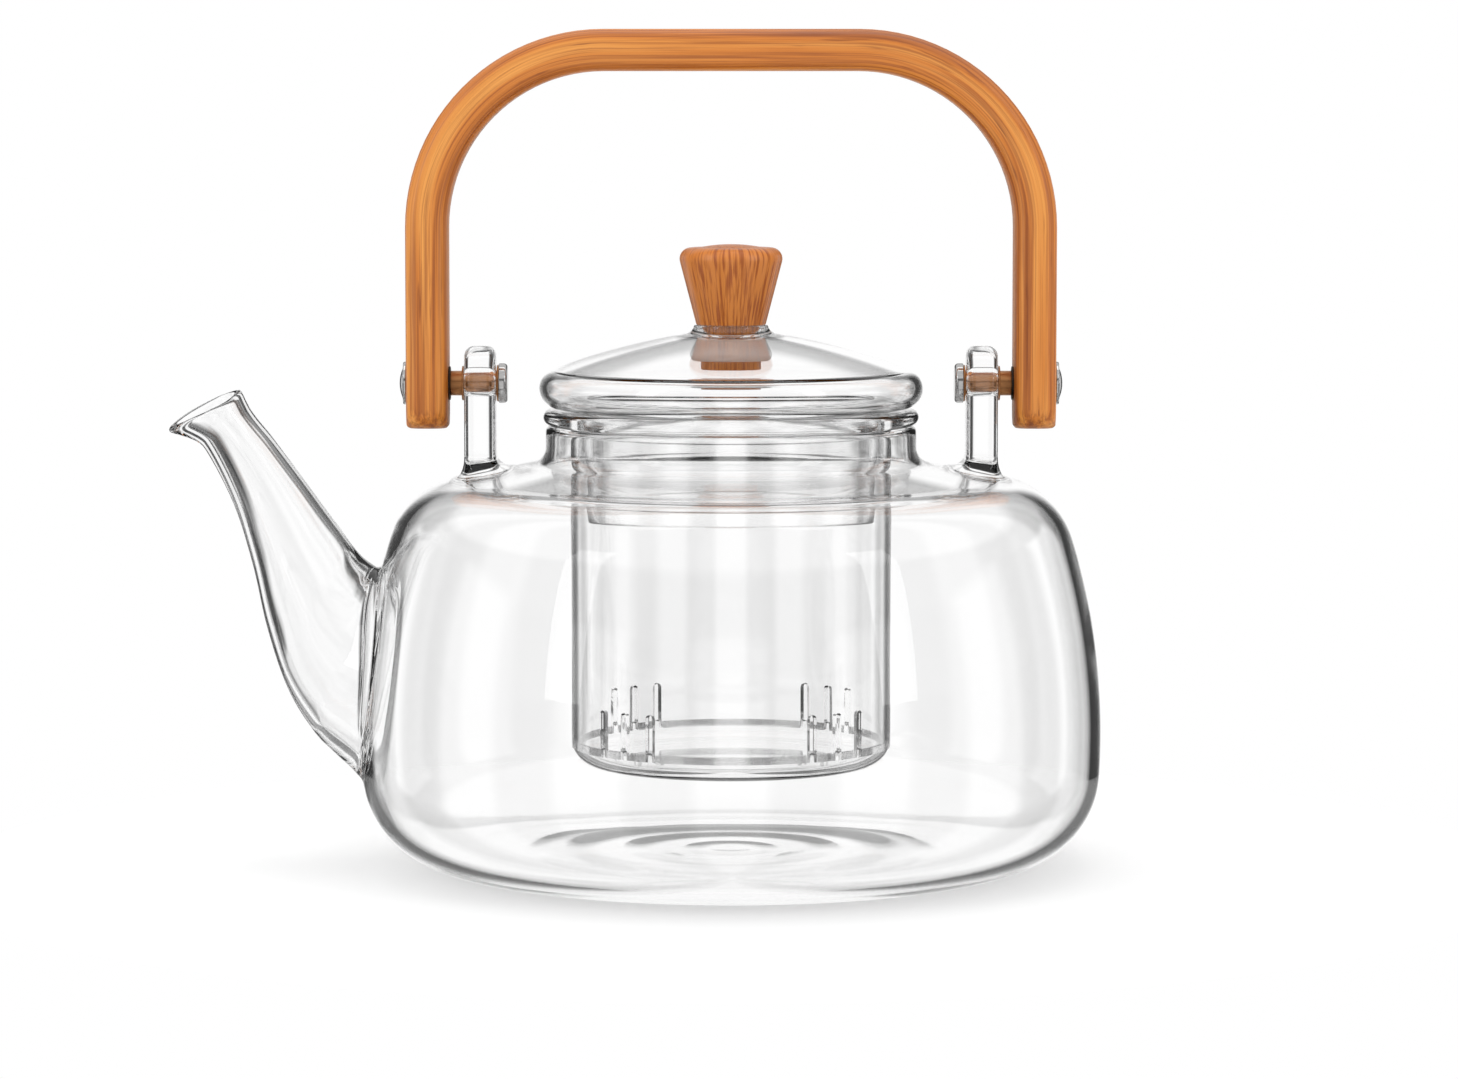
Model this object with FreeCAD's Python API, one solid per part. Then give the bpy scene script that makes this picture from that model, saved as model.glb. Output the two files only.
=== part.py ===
import FreeCAD, Part
import math
import os

V = FreeCAD.Vector

# Glass teapot with a bamboo bail handle. Millimetres, +Z up, spout towards -X.
# The origin is the centre of the base, on the surface that the pot stands on.

# Vessel
glass_wall = 2.2
belly_radius = 79.5
belly_height = 28.4
side_arc_radius = 143.6
side_top_height = 70.8
corner_arc_radius = 20.3
foot_arc_radius = 30.5
corner_lower_angle = 70.2
shoulder_arc_radius = 18.5
shoulder_end_angle = 79.4
neck_radius = 39.7
neck_fillet = 3.5
neck_length = 7.5
punt_radius = 44.0
punt_height = 0.9

# Spout: each station gives its centre's distance outside the belly and its height,
# half its length in the XZ plane, half its width along Y and its tilt from level in degrees
spout_wall = 1.9
spout_weld_wall = 3.4
spout_stations = {
    "inside": (-16.0, 39.6, 22.6, 20.5, 90.0),
    "root": (0.6, 43.0, 21.0, 18.6, 77.0),
    "shoulder": (7.1, 50.9, 17.2, 15.6, 64.5),
    "throat": (12.5, 62.0, 13.7, 12.6, 57.0),
    "stem": (17.7, 74.4, 10.4, 9.8, 57.0),
    "neck": (23.0, 85.4, 7.8, 7.6, 53.0),
    "collar": (28.0, 93.2, 7.0, 6.9, 44.0),
    "mouth": (32.2, 97.3, 8.7, 7.2, 27.5),
}
spout_run_out = 12.0

# Lugs on the shoulder
lug_reach = 53.6
lug_thickness = 6.8
lug_half_width = 7.4
lug_top_above_pin = 8.0
lug_edge_round = 2.0
lug_top_round = 6.9
lug_flare = 3.3
lug_flare_sunk = 0.8
pin_above_shoulder = 19.2

# Infuser
infuser_radius = 34.3
infuser_wall = 1.5
infuser_floor = 1.6
infuser_corner = 5.5
infuser_depth = 73.0
flange_radius = 40.2
flange_thickness = 3.4
flange_under_fillet = 1.6
flange_mouth_round = 4.0
slot_width = 1.7
slot_length = 10.0
slot_above_floor = 2.4
slot_group_angle = 41.0
slot_spacing_angle = 11.0
slots_per_group = 3

# Lid
lid_radius = 41.1
lid_wall = 1.6
lid_edge_roll = 4.3
dome_arc_radius = 163.0
dome_edge_angle = 70.0
collar_radius = 7.9
collar_fillet = 2.2
collar_height = 0.85
skirt_top_radius = 32.0
skirt_bottom_radius = 30.5
skirt_wall = 1.3
skirt_length = 22.0
skirt_fillet = 1.4
plug_seat_radius = 10.4

# Knob and its plug: the knob's top and the plug's flare are corners before rounding
knob_bottom_radius = 7.4
knob_top_radius = 11.7
knob_height = 17.2
knob_edge_round = 2.4
knob_crown = 0.7
stem_radius = 6.4
stem_below_plug = 1.8
plug_neck_radius = 7.4
plug_flare_radius = 9.5
plug_length = 4.6
plug_round = 1.3

# Bail handle and pivots
bail_thickness = 8.9
bail_depth = 15.0
bail_edge_round = 2.8
bail_corner_radius = 33.2
bail_above_pin = 75.4
bail_below_pin = 9.6
leg_end_round = 4.5
pivot_gap = 3.4
barrel_radius = 2.0
thread_radius = 1.5
barrel_head_radius = 4.25
barrel_head_thickness = 1.9
barrel_into_leg = 6.0
screw_head_radius = 4.6
screw_head_thickness = 1.6
screw_end_clearance = 1.5
tube_radius = 2.65
inner_washer_radius = 3.9
outer_washer_radius = 3.7
lug_washer_thickness = 0.35
leg_washer_radius = 3.6
leg_washer_thickness = 0.4

# Clearances
seat_clearance = 0.2
slip_clearance = 0.05
running_clearance = 0.06
side_clearance = 0.15
stem_clearance = 0.2

AXIS = V(0, 0, 1)
ORIGIN = V(0, 0, 0)


def at(radius, height):
    """Point of a half section, in the XZ plane."""
    return V(radius, 0, height)


def polar(centre, radius, degrees):
    """Point of the XZ plane on a circle about centre."""
    angle = math.radians(degrees)
    return centre + V(radius * math.cos(angle), 0, radius * math.sin(angle))


def line(start, end):
    return Part.LineSegment(start, end).toShape()


def arc(centre, radius, start, end):
    """Arc in the XZ plane between two angles in degrees."""
    middle = 0.5 * (start + end)
    points = [polar(centre, radius, angle) for angle in (start, middle, end)]
    return Part.Arc(*points).toShape()


def rounded_line(points, rounds):
    """Edges along points, with a tangent arc of each given radius at the inner points."""
    edges = []
    start = points[0]
    for corner, after, radius in zip(points[1:-1], points[2:], rounds):
        back = (start - corner).normalize()
        ahead = (after - corner).normalize()
        half_angle = 0.5 * back.getAngle(ahead)
        reach = radius / math.tan(half_angle)
        middle = corner + (back + ahead).normalize() * (radius / math.sin(half_angle) - radius)
        first = corner + back * reach
        last = corner + ahead * reach
        if (first - start).Length > 1e-6:
            edges.append(line(start, first))
        edges.append(Part.Arc(first, middle, last).toShape())
        start = last
    edges.append(line(start, points[-1]))
    return edges


def cap(rim_radius, rim_height, rise):
    """Arc of a shallow round cap, from its rim to the Z axis."""
    radius = (rim_radius ** 2 + rise ** 2) / (2 * rise)
    centre = at(0, rim_height + rise - radius)
    rim_angle = math.degrees(math.acos(rim_radius / radius))
    return arc(centre, radius, rim_angle, 90)


def turned(edges):
    """Solid of revolution about the Z axis from the edges of a closed half section."""
    wire = Part.Wire(Part.__sortEdges__(edges))
    return Part.Face(wire).revolve(ORIGIN, AXIS, 360)


def rod(radius, start, end):
    """Round bar along X between two places on the pin axis."""
    low = min(start, end)
    return Part.makeCylinder(radius, abs(end - start), V(low, 0, pin_height), V(1, 0, 0))


# Circles of the vessel's half section, shared by its outer and inner skins
side_centre = at(belly_radius - side_arc_radius, belly_height)
foot_to_corner = foot_arc_radius - corner_arc_radius
side_to_corner = side_arc_radius - corner_arc_radius
corner_height = foot_arc_radius - foot_to_corner * math.sin(math.radians(corner_lower_angle))
side_low_angle = math.degrees(math.asin((corner_height - belly_height) / side_to_corner))
side_high_angle = math.degrees(math.asin((side_top_height - belly_height) / side_arc_radius))
corner_centre = polar(side_centre, side_to_corner, side_low_angle)
foot_centre = polar(corner_centre, foot_to_corner, 180 - corner_lower_angle)
shoulder_centre = polar(side_centre, side_arc_radius - shoulder_arc_radius, side_high_angle)
shoulder_end = polar(shoulder_centre, shoulder_arc_radius, shoulder_end_angle)
crest_slope = math.tan(math.radians(90 - shoulder_end_angle))


def crest_height(radius):
    """Height of the cone that runs from the shoulder's arc in to the neck."""
    return shoulder_end.z + (shoulder_end.x - radius) * crest_slope


def shoulder_height(radius):
    """Height of the vessel's outside where a lug stands on it."""
    if radius < shoulder_end.x:
        return crest_height(radius)
    return shoulder_centre.z + math.sqrt(shoulder_arc_radius ** 2 - (radius - shoulder_centre.x) ** 2)


fillet_rise = neck_fillet / math.cos(math.radians(90 - shoulder_end_angle))
fillet_centre = at(neck_radius + neck_fillet, crest_height(neck_radius + neck_fillet) + fillet_rise)

# Heights of what stands on the shoulder and the rim
rim_height = crest_height(neck_radius) + neck_length
pin_height = crest_height(lug_reach) + pin_above_shoulder
seat_height = rim_height + seat_clearance
flange_top = seat_height + flange_thickness
lid_underside = flange_top + seat_clearance
lug_inner_face = lug_reach - lug_thickness / 2
lug_outer_face = lug_reach + lug_thickness / 2
leg_inner_face = lug_outer_face + pivot_gap
leg_outer_face = leg_inner_face + bail_thickness


def vessel_skin(inset):
    """Edges of the vessel's skin from the foot up to the neck, set in from the outside by inset."""
    neck = neck_radius - inset
    foot_low = polar(foot_centre, foot_arc_radius - inset, -90)
    crest_low = polar(shoulder_centre, shoulder_arc_radius - inset, shoulder_end_angle)
    crest_high = polar(fillet_centre, neck_fillet + inset, 180 + shoulder_end_angle)
    return foot_low, [
        arc(foot_centre, foot_arc_radius - inset, -90, -corner_lower_angle),
        arc(corner_centre, corner_arc_radius - inset, -corner_lower_angle, side_low_angle),
        arc(side_centre, side_arc_radius - inset, side_low_angle, side_high_angle),
        arc(shoulder_centre, shoulder_arc_radius - inset, side_high_angle, shoulder_end_angle),
        line(crest_low, crest_high),
        arc(fillet_centre, neck_fillet + inset, 180 + shoulder_end_angle, 180),
        line(at(neck, fillet_centre.z), at(neck, rim_height - glass_wall / 2)),
    ]


def vessel_block():
    """The vessel's outside as a solid, for seating the spout and the lugs, with its seam clear of them."""
    foot, skin = vessel_skin(0)
    top = rim_height - glass_wall / 2
    closing = [
        line(at(neck_radius, top), at(0, top)),
        line(at(0, top), at(0, 0)),
        line(at(0, 0), foot),
    ]
    block = turned(skin + closing)
    block.rotate(ORIGIN, AXIS, 90)
    return block


def make_vessel(passage):
    foot, outer = vessel_skin(0)
    inner_foot, inner = vessel_skin(glass_wall)
    rim_centre = at(neck_radius - glass_wall / 2, rim_height - glass_wall / 2)
    rim = arc(rim_centre, glass_wall / 2, 0, 180)
    base = [
        line(inner_foot, at(0, glass_wall)),
        line(at(0, glass_wall), at(0, punt_height)),
        cap(punt_radius, 0, punt_height),
        line(at(punt_radius, 0), foot),
    ]
    return turned(outer + inner + [rim] + base).cut(passage)


def spout_ring(station, inset):
    """Closed smooth ring of the spout at one station, set in by inset."""
    out, height, half_length, half_width, tilt = station
    centre = V(-(belly_radius + out), 0, height)
    along = polar(ORIGIN, half_length - inset, tilt)
    across = V(0, half_width - inset, 0)
    ring = Part.BSplineCurve()
    steps = [2 * math.pi * step / 12 for step in range(12)]
    ring.interpolate([centre + along * math.cos(a) + across * math.sin(a) for a in steps], True)
    return Part.Wire(ring.toShape())


def make_spout(block):
    """The welded spout, and the passage that it opens through the vessel's wall."""
    names = list(spout_stations)
    outer = [spout_ring(spout_stations[name], 0) for name in names]
    inner = []
    for name in names:
        welded = name in ("inside", "root")
        inner.append(spout_ring(spout_stations[name], spout_weld_wall if welded else spout_wall))
    mouth = spout_stations["mouth"]
    leave = polar(ORIGIN, spout_run_out, mouth[4] + 90)
    beyond = inner[-1].copy()
    beyond.translate(leave)
    passage = Part.makeLoft(inner, True, False)
    opening = Part.makeLoft([inner[-1], beyond], True, True)
    shell = Part.makeLoft(outer, True, False).cut(passage).cut(opening)
    return shell.cut(block), passage


def lug_outline(half, top, feet, top_round):
    """Closed outline of a lug in the XZ plane about its centre line, flared out to a foot on each side."""
    bend = lug_flare * (1 - math.sqrt(0.5))
    low = min(feet) - lug_flare
    starts = [at(-half, feet[0] + lug_flare), at(half, feet[1] + lug_flare)]
    bends = [at(-half - bend, feet[0] + bend), at(half + bend, feet[1] + bend)]
    ends = [at(-half - lug_flare, feet[0]), at(half + lug_flare, feet[1])]
    corners = [at(-half - lug_flare, low), at(half + lug_flare, low)]
    flares = [Part.Arc(end, bend, start).toShape() for end, bend, start in zip(ends, bends, starts)]
    crown = rounded_line([starts[0], at(-half, top), at(half, top), starts[1]], [top_round] * 2)
    base = [line(ends[0], corners[0]), line(corners[0], corners[1]), line(corners[1], ends[1])]
    return Part.Face(Part.Wire(Part.__sortEdges__(flares + crown + base)))


def make_lug(side, block):
    """Solid glass ear whose flared foot is cut to the shoulder that it is welded on."""
    top = pin_height + lug_top_above_pin
    foot_in = shoulder_height(lug_inner_face - lug_flare) - lug_flare_sunk
    foot_out = shoulder_height(lug_outer_face + lug_flare) - lug_flare_sunk
    foot_aside = shoulder_height(math.hypot(lug_reach, lug_half_width + lug_flare)) - lug_flare_sunk
    front = lug_outline(lug_thickness / 2, top, (foot_in, foot_out), lug_edge_round)
    profile = lug_outline(lug_half_width, top, (foot_aside, foot_aside), lug_top_round)
    length = 4 * (lug_half_width + lug_flare)
    slab = front.extrude(V(0, length, 0))
    slab.translate(V(lug_reach, -length / 2, 0))
    ear = profile.extrude(V(0, length, 0))
    ear.rotate(ORIGIN, AXIS, -90)
    ear.translate(V(lug_reach - length / 2, 0, 0))
    bore = rod(tube_radius + running_clearance, 0, 2 * lug_reach)
    lug = slab.common(ear).cut(block).cut(bore)
    return lug if side > 0 else lug.mirror(ORIGIN, V(1, 0, 0))


def make_infuser():
    outer = infuser_radius
    inner = infuser_radius - infuser_wall
    bottom = seat_height - infuser_depth
    floor = bottom + infuser_floor
    edge = flange_thickness / 2
    bead_centre = at(flange_radius - edge, seat_height + edge)
    outside = rounded_line(
        [at(0, bottom), at(outer, bottom), at(outer, seat_height), at(bead_centre.x, seat_height)],
        [infuser_corner, flange_under_fillet],
    )
    bead = arc(bead_centre, edge, -90, 90)
    inside = rounded_line(
        [at(bead_centre.x, flange_top), at(inner, flange_top), at(inner, floor), at(0, floor)],
        [flange_mouth_round, infuser_corner - infuser_wall],
    )
    cup = turned(outside + [bead] + inside + [line(at(0, floor), at(0, bottom))])
    return cup.cut(Part.makeCompound(infuser_slots(floor + slot_above_floor)))


def infuser_slots(low):
    """Cutters for upright slots with round ends, in four groups round the wall."""
    half = slot_width / 2
    reach = infuser_radius + infuser_wall
    straight = slot_length - slot_width
    cutters = []
    body = Part.makeBox(reach, slot_width, straight, V(0, -half, low + half))
    ends = [Part.makeCylinder(half, reach, V(0, 0, low + half + rise), V(1, 0, 0)) for rise in (0, straight)]
    shape = body.fuse(ends)
    shape = shape.cut(Part.makeCylinder(infuser_radius / 2, 2 * slot_length, V(0, 0, low - slot_length / 2)))
    middle = (slots_per_group - 1) / 2
    for facing in (90, -90):
        for turn in (slot_group_angle, -slot_group_angle):
            for step in range(slots_per_group):
                cutter = shape.copy()
                cutter.rotate(ORIGIN, AXIS, facing + turn + (step - middle) * slot_spacing_angle)
                cutters.append(cutter)
    return cutters


# Circles of the lid's dome, shared by the lid, the knob and the plug
roll_centre = at(lid_radius - lid_edge_roll, lid_underside + lid_edge_roll)
dome_centre = polar(roll_centre, dome_arc_radius - lid_edge_roll, 180 + dome_edge_angle)
collar_turn = at(collar_radius + collar_fillet, 0)
dome_to_turn = dome_arc_radius + collar_fillet
collar_turn.z = dome_centre.z + math.sqrt(dome_to_turn ** 2 - (collar_turn.x - dome_centre.x) ** 2)
dome_top_angle = math.degrees(math.atan2(collar_turn.z - dome_centre.z, collar_turn.x - dome_centre.x))
collar_top = collar_turn.z + collar_height - collar_fillet / 2
collar_bore = stem_radius + stem_clearance
inner_dome = dome_arc_radius - lid_wall
plug_seat = dome_centre.z + math.sqrt(inner_dome ** 2 - (plug_seat_radius - dome_centre.x) ** 2)
plug_seat_angle = math.degrees(math.atan2(plug_seat - dome_centre.z, plug_seat_radius - dome_centre.x))


def make_lid():
    roll_low = roll_centre.z - lid_edge_roll
    skirt_low = lid_underside - skirt_length
    tip = skirt_wall / 2
    inner_plate = lid_underside + lid_wall
    outside = [
        line(at(collar_radius, collar_top), at(collar_radius, collar_turn.z)),
        arc(collar_turn, collar_fillet, 180, 180 + dome_top_angle),
        arc(dome_centre, dome_arc_radius, dome_top_angle, dome_edge_angle),
        arc(roll_centre, lid_edge_roll, dome_edge_angle, -90),
    ]
    under = rounded_line(
        [
            at(roll_centre.x, roll_low),
            at(skirt_top_radius, roll_low),
            at(skirt_bottom_radius, skirt_low + tip),
        ],
        [skirt_fillet],
    )
    end = Part.Arc(
        at(skirt_bottom_radius, skirt_low + tip),
        at(skirt_bottom_radius - tip, skirt_low),
        at(skirt_bottom_radius - skirt_wall, skirt_low + tip),
    ).toShape()
    inside = rounded_line(
        [
            at(skirt_bottom_radius - skirt_wall, skirt_low + tip),
            at(skirt_top_radius - skirt_wall, inner_plate),
            at(roll_centre.x, inner_plate),
        ],
        [skirt_fillet],
    )
    roof = [
        arc(roll_centre, lid_edge_roll - lid_wall, -90, dome_edge_angle),
        arc(dome_centre, inner_dome, dome_edge_angle, plug_seat_angle),
        line(at(plug_seat_radius, plug_seat), at(collar_bore, plug_seat)),
        line(at(collar_bore, plug_seat), at(collar_bore, collar_top)),
        line(at(collar_bore, collar_top), at(collar_radius, collar_top)),
    ]
    return turned(outside + under + [end] + inside + roof)


def make_knob():
    top = collar_top + knob_height
    edge = top - knob_crown
    crown_radius = knob_top_radius - 2 * knob_edge_round
    stem_end = plug_seat - plug_length - stem_below_plug
    profile = rounded_line(
        [at(knob_bottom_radius, collar_top), at(knob_top_radius, edge), at(crown_radius, edge)],
        [knob_edge_round],
    )
    foot = [
        line(at(0, top), at(0, stem_end)),
        line(at(0, stem_end), at(stem_radius, stem_end)),
        line(at(stem_radius, stem_end), at(stem_radius, collar_top)),
        line(at(stem_radius, collar_top), at(knob_bottom_radius, collar_top)),
    ]
    return turned(profile + [cap(crown_radius, edge, knob_crown)] + foot)


def make_plug():
    low = plug_seat - plug_length
    outline = rounded_line(
        [
            at(stem_radius, plug_seat),
            at(plug_neck_radius, plug_seat),
            at(plug_flare_radius, low),
            at(stem_radius, low),
        ],
        [plug_round / 4, plug_round],
    )
    return turned(outline + [line(at(stem_radius, low), at(stem_radius, plug_seat))])


def bail_section(centre, depth_axis, width_axis):
    """Rounded rectangle of bamboo about centre, as a face."""
    half_depth = bail_depth / 2
    half_width = bail_thickness / 2
    corners = []
    for across, along in ((1, 0), (1, 1), (-1, 1), (-1, -1), (1, -1), (1, 0)):
        corners.append(centre + depth_axis * (across * half_depth) + width_axis * (along * half_width))
    return Part.Face(Part.Wire(rounded_line(corners, [bail_edge_round] * 4)))


def make_bail():
    """Bamboo strip bent into two legs and a grip, with a bore in each leg's end."""
    deep = V(0, 1, 0)
    wide = V(1, 0, 0)
    top = pin_height + bail_above_pin
    bend_height = top - bail_thickness - bail_corner_radius
    bend_reach = leg_inner_face - bail_corner_radius
    leg_end = pin_height - bail_below_pin
    grip = bail_section(V(-bend_reach, 0, top - bail_thickness / 2), deep, AXIS)
    pieces = [grip.extrude(V(2 * bend_reach, 0, 0))]
    for side in (-1, 1):
        place = side * (leg_inner_face + leg_outer_face) / 2
        start = bail_section(V(place, 0, bend_height), deep, wide)
        pieces.append(start.revolve(V(side * bend_reach, 0, bend_height), V(0, -side, 0), 90))
        leg = start.extrude(V(0, 0, leg_end - bend_height))
        pieces.append(leg.common(leg_blank(side, leg_end, bend_height)))
    strip = pieces[0].multiFuse(pieces[1:]).removeSplitter()
    return strip.cut(rod(barrel_radius + slip_clearance, -2 * leg_outer_face, 2 * leg_outer_face))


def leg_blank(side, low, high):
    """Slab with rounded lower corners, which shapes a leg's end as seen along the pin."""
    half = bail_depth / 2
    corners = [V(0, half, high), V(0, half, low), V(0, -half, low), V(0, -half, high)]
    outline = rounded_line(corners, [leg_end_round] * 2) + [line(corners[-1], corners[0])]
    slab = Part.Face(Part.Wire(outline)).extrude(V(side * 2 * leg_outer_face, 0, 0))
    return slab


def make_barrel(side):
    """Headed sleeve from inside the lug out into the leg, with a bore for the screw's thread."""
    face = lug_inner_face - side_clearance - lug_washer_thickness
    head = rod(barrel_head_radius, side * (face - barrel_head_thickness), side * face)
    rim = [edge for edge in head.Edges if abs(abs(edge.CenterOfMass.x) - face) > barrel_head_thickness / 2]
    head = head.makeFillet(barrel_head_thickness / 3, [edge for edge in rim if len(edge.Vertexes) == 1])
    sleeve = rod(barrel_radius, side * face, side * (leg_inner_face + barrel_into_leg))
    bore = rod(thread_radius, side * face, side * leg_outer_face)
    return head.fuse(sleeve).removeSplitter().cut(bore)


def make_screw(side):
    """Domed screw head on the leg's outer face, with its shank in the barrel."""
    dome = (screw_head_radius ** 2 + screw_head_thickness ** 2) / (2 * screw_head_thickness)
    ball = Part.makeSphere(dome, V(side * (leg_outer_face + screw_head_thickness - dome), 0, pin_height))
    head = ball.common(rod(screw_head_radius, side * leg_outer_face, side * 2 * leg_outer_face))
    tip = lug_inner_face + screw_end_clearance
    shank = rod(thread_radius, side * tip, side * leg_outer_face)
    return head.fuse(shank).removeSplitter()


def ring(outer, inner, start, end):
    return rod(outer, start, end).cut(rod(inner, start, end))


def make_pivot(side, name):
    """The metal pieces of one pivot, from the inner head out to the leg."""
    bore = barrel_radius + slip_clearance
    head_face = lug_inner_face - side_clearance - lug_washer_thickness
    outer_washer = lug_outer_face + side_clearance
    leg_washer = leg_inner_face - leg_washer_thickness
    inner = (side * head_face, side * (head_face + lug_washer_thickness))
    outer = (side * outer_washer, side * (outer_washer + lug_washer_thickness))
    return {
        "pivot_barrel_" + name: make_barrel(side),
        "pivot_screw_" + name: make_screw(side),
        "spacer_tube_" + name: ring(tube_radius, bore, side * head_face, side * leg_washer),
        "lug_washer_inner_" + name: ring(inner_washer_radius, tube_radius, *inner),
        "lug_washer_outer_" + name: ring(outer_washer_radius, tube_radius, *outer),
        "leg_washer_" + name: ring(leg_washer_radius, bore, side * leg_washer, side * leg_inner_face),
    }


def make_parts():
    block = vessel_block()
    spout, passage = make_spout(block)
    parts = {
        "glass_vessel": make_vessel(passage),
        "spout": spout,
        "infuser": make_infuser(),
        "lid": make_lid(),
        "knob": make_knob(),
        "knob_plug": make_plug(),
        "bail_handle": make_bail(),
    }
    for side, name in ((-1, "left"), (1, "right")):
        parts["lug_" + name] = make_lug(side, block)
        parts.update(make_pivot(side, name))
    return parts


def main():
    os.makedirs("parts", exist_ok=True)
    for name, shape in make_parts().items():
        if len(shape.Solids) != 1 or not shape.isValid():
            raise ValueError("%s: %d solids, valid %s" % (name, len(shape.Solids), shape.isValid()))
        shape.Solids[0].exportStep("parts/" + name + ".step")
        box = shape.BoundBox
        print("%-24s %8.1f mm3  z %6.1f to %6.1f" % (name, shape.Volume, box.ZMin, box.ZMax))


if __name__ == "__main__":
    main()
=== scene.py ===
"""Looks of a glass teapot with a bamboo bail handle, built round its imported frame."""

import math

import bmesh
import bpy
import numpy as np
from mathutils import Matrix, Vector


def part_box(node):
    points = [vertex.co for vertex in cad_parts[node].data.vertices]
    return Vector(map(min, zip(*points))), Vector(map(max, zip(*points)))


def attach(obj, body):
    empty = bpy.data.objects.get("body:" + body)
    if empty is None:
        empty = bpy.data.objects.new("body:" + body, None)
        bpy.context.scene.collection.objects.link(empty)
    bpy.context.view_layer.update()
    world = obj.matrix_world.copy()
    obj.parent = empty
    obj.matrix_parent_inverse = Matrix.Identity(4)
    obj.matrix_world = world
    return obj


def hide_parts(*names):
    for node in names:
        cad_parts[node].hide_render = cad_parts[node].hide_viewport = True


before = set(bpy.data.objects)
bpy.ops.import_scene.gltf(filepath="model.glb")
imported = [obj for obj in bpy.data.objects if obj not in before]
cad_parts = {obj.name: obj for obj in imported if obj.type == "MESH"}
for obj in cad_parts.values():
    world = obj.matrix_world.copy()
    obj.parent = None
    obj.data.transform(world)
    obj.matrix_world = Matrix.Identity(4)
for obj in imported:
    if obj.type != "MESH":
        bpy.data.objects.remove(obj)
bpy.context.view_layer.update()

bl_info = {
    "name": "Glass Teapot",
    "version": (1, 0, 0),
    "blender": (4, 5, 0),
    "location": "View3D > Sidebar > Teapot",
    "description": "Dresses a glass teapot with a bamboo bail handle",
    "category": "Add Mesh",
}

MM = 0.001
SIDES = {"left": -1, "right": 1}
# Steps round the axis of each turned piece
POT_COLUMNS = 160
CUP_COLUMNS = 360
LID_COLUMNS = 160
KNOB_COLUMNS = 96
PIN_COLUMNS = 64
FLOOR_COLUMNS = 96
# Metres within which two sizes are equal, and within which two points are one
TINY = 1e-6
SAME = 1e-7
SHARP_ANGLE = math.radians(38)
WHITE = (1.0, 1.0, 1.0)
EVEN = (1.0, 1.0, 1.0)
FINISH_PREFIX = "finish_"
GRAIN = "grain"


def length(label, mm, description):
    """Property for a size of the object, written in millimetres."""
    return bpy.props.FloatProperty(
        name=label, description=description, default=mm * MM, unit="LENGTH", precision=5
    )


def angle(label, degrees, description):
    """Property for an angle, written in degrees."""
    return bpy.props.FloatProperty(
        name=label, description=description, default=math.radians(degrees), subtype="ANGLE"
    )


def number(label, default, description):
    """Property for a plain number."""
    return bpy.props.FloatProperty(name=label, description=description, default=default, precision=3)


def colour(label, default, description):
    """Property for a colour."""
    return bpy.props.FloatVectorProperty(
        name=label, description=description, default=default, subtype="COLOR", size=3, min=0, max=1
    )


class PotSizes(bpy.types.PropertyGroup):
    """Sizes of the blown vessel, its spout and its lugs."""

    wall: length("Wall", 2.2, "Thickness of the vessel's wall")
    belly_radius: length("Belly radius", 79.5, "Widest radius of the vessel")
    belly_height: length("Belly height", 28.4, "Height of the widest place")
    side_radius: length("Side arc", 143.6, "Radius of the side's curve")
    side_top: length("Side top", 70.8, "Height where the side turns into the shoulder")
    corner_radius: length("Corner arc", 20.3, "Radius of the curve above the foot")
    foot_radius: length("Foot arc", 30.5, "Radius of the curve that meets the table")
    corner_angle: angle("Corner angle", 70.2, "Angle where the corner turns into the foot")
    shoulder_radius: length("Shoulder arc", 18.5, "Radius of the shoulder's curve")
    shoulder_angle: angle("Shoulder angle", 79.4, "Angle where the shoulder runs out to a cone")
    neck_radius: length("Neck radius", 39.7, "Outside radius of the neck")
    neck_fillet: length("Neck fillet", 3.5, "Radius between the shoulder and the neck")
    neck_length: length("Neck length", 7.5, "Height of the neck above the shoulder")
    punt_radius: length("Punt radius", 44.0, "Radius of the hollow under the base")
    punt_height: length("Punt height", 0.9, "Depth of the hollow under the base")
    base_ripple: length("Base ripple", 0.06, "Height of the rings in the base")
    ripple_gap: length("Ripple gap", 12.0, "Distance between the rings in the base")
    spout_wall: length("Spout wall", 1.9, "Thickness of the spout's wall")
    weld_wall: length("Weld wall", 3.4, "Thickness of the spout's wall at its root")
    lip_reach: length("Lip reach", 4.2, "How far the pouring lip stands out")
    lip_drop: length("Lip drop", 0.5, "How far the pouring lip curls down")
    lip_lean: length("Lip lean", 0.9, "How far the mouth leans to the front")
    lip_arch: length("Lip arch", 0.9, "How far the mouth's sides stand above its ends")
    lug_reach: length("Lug reach", 53.6, "Distance of a lug from the axis")
    lug_thickness: length("Lug thickness", 6.8, "Thickness of a lug along the pin")
    lug_half_width: length("Lug half width", 7.4, "Half a lug's width")
    lug_flare: length("Lug flare", 3.3, "How far a lug's foot spreads")
    lug_top_round: length("Lug top round", 6.9, "Radius of a lug's top seen along the pin")
    lug_edge_round: length("Lug edge round", 2.0, "Radius of a lug's edges")
    pin_height: length("Pin height", 103.7, "Height of the handle's pin axis")
    lug_above_pin: length("Lug above pin", 8.0, "Height of a lug's top above the pin")
    lug_drop: length("Lug drop", 18.8, "Depth of a lug's weld below the pin")
    lug_seat: length("Lug seat", 84.6, "Height of the shoulder under a lug")
    bore_radius: length("Lug bore", 2.71, "Radius of the hole through a lug")


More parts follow.
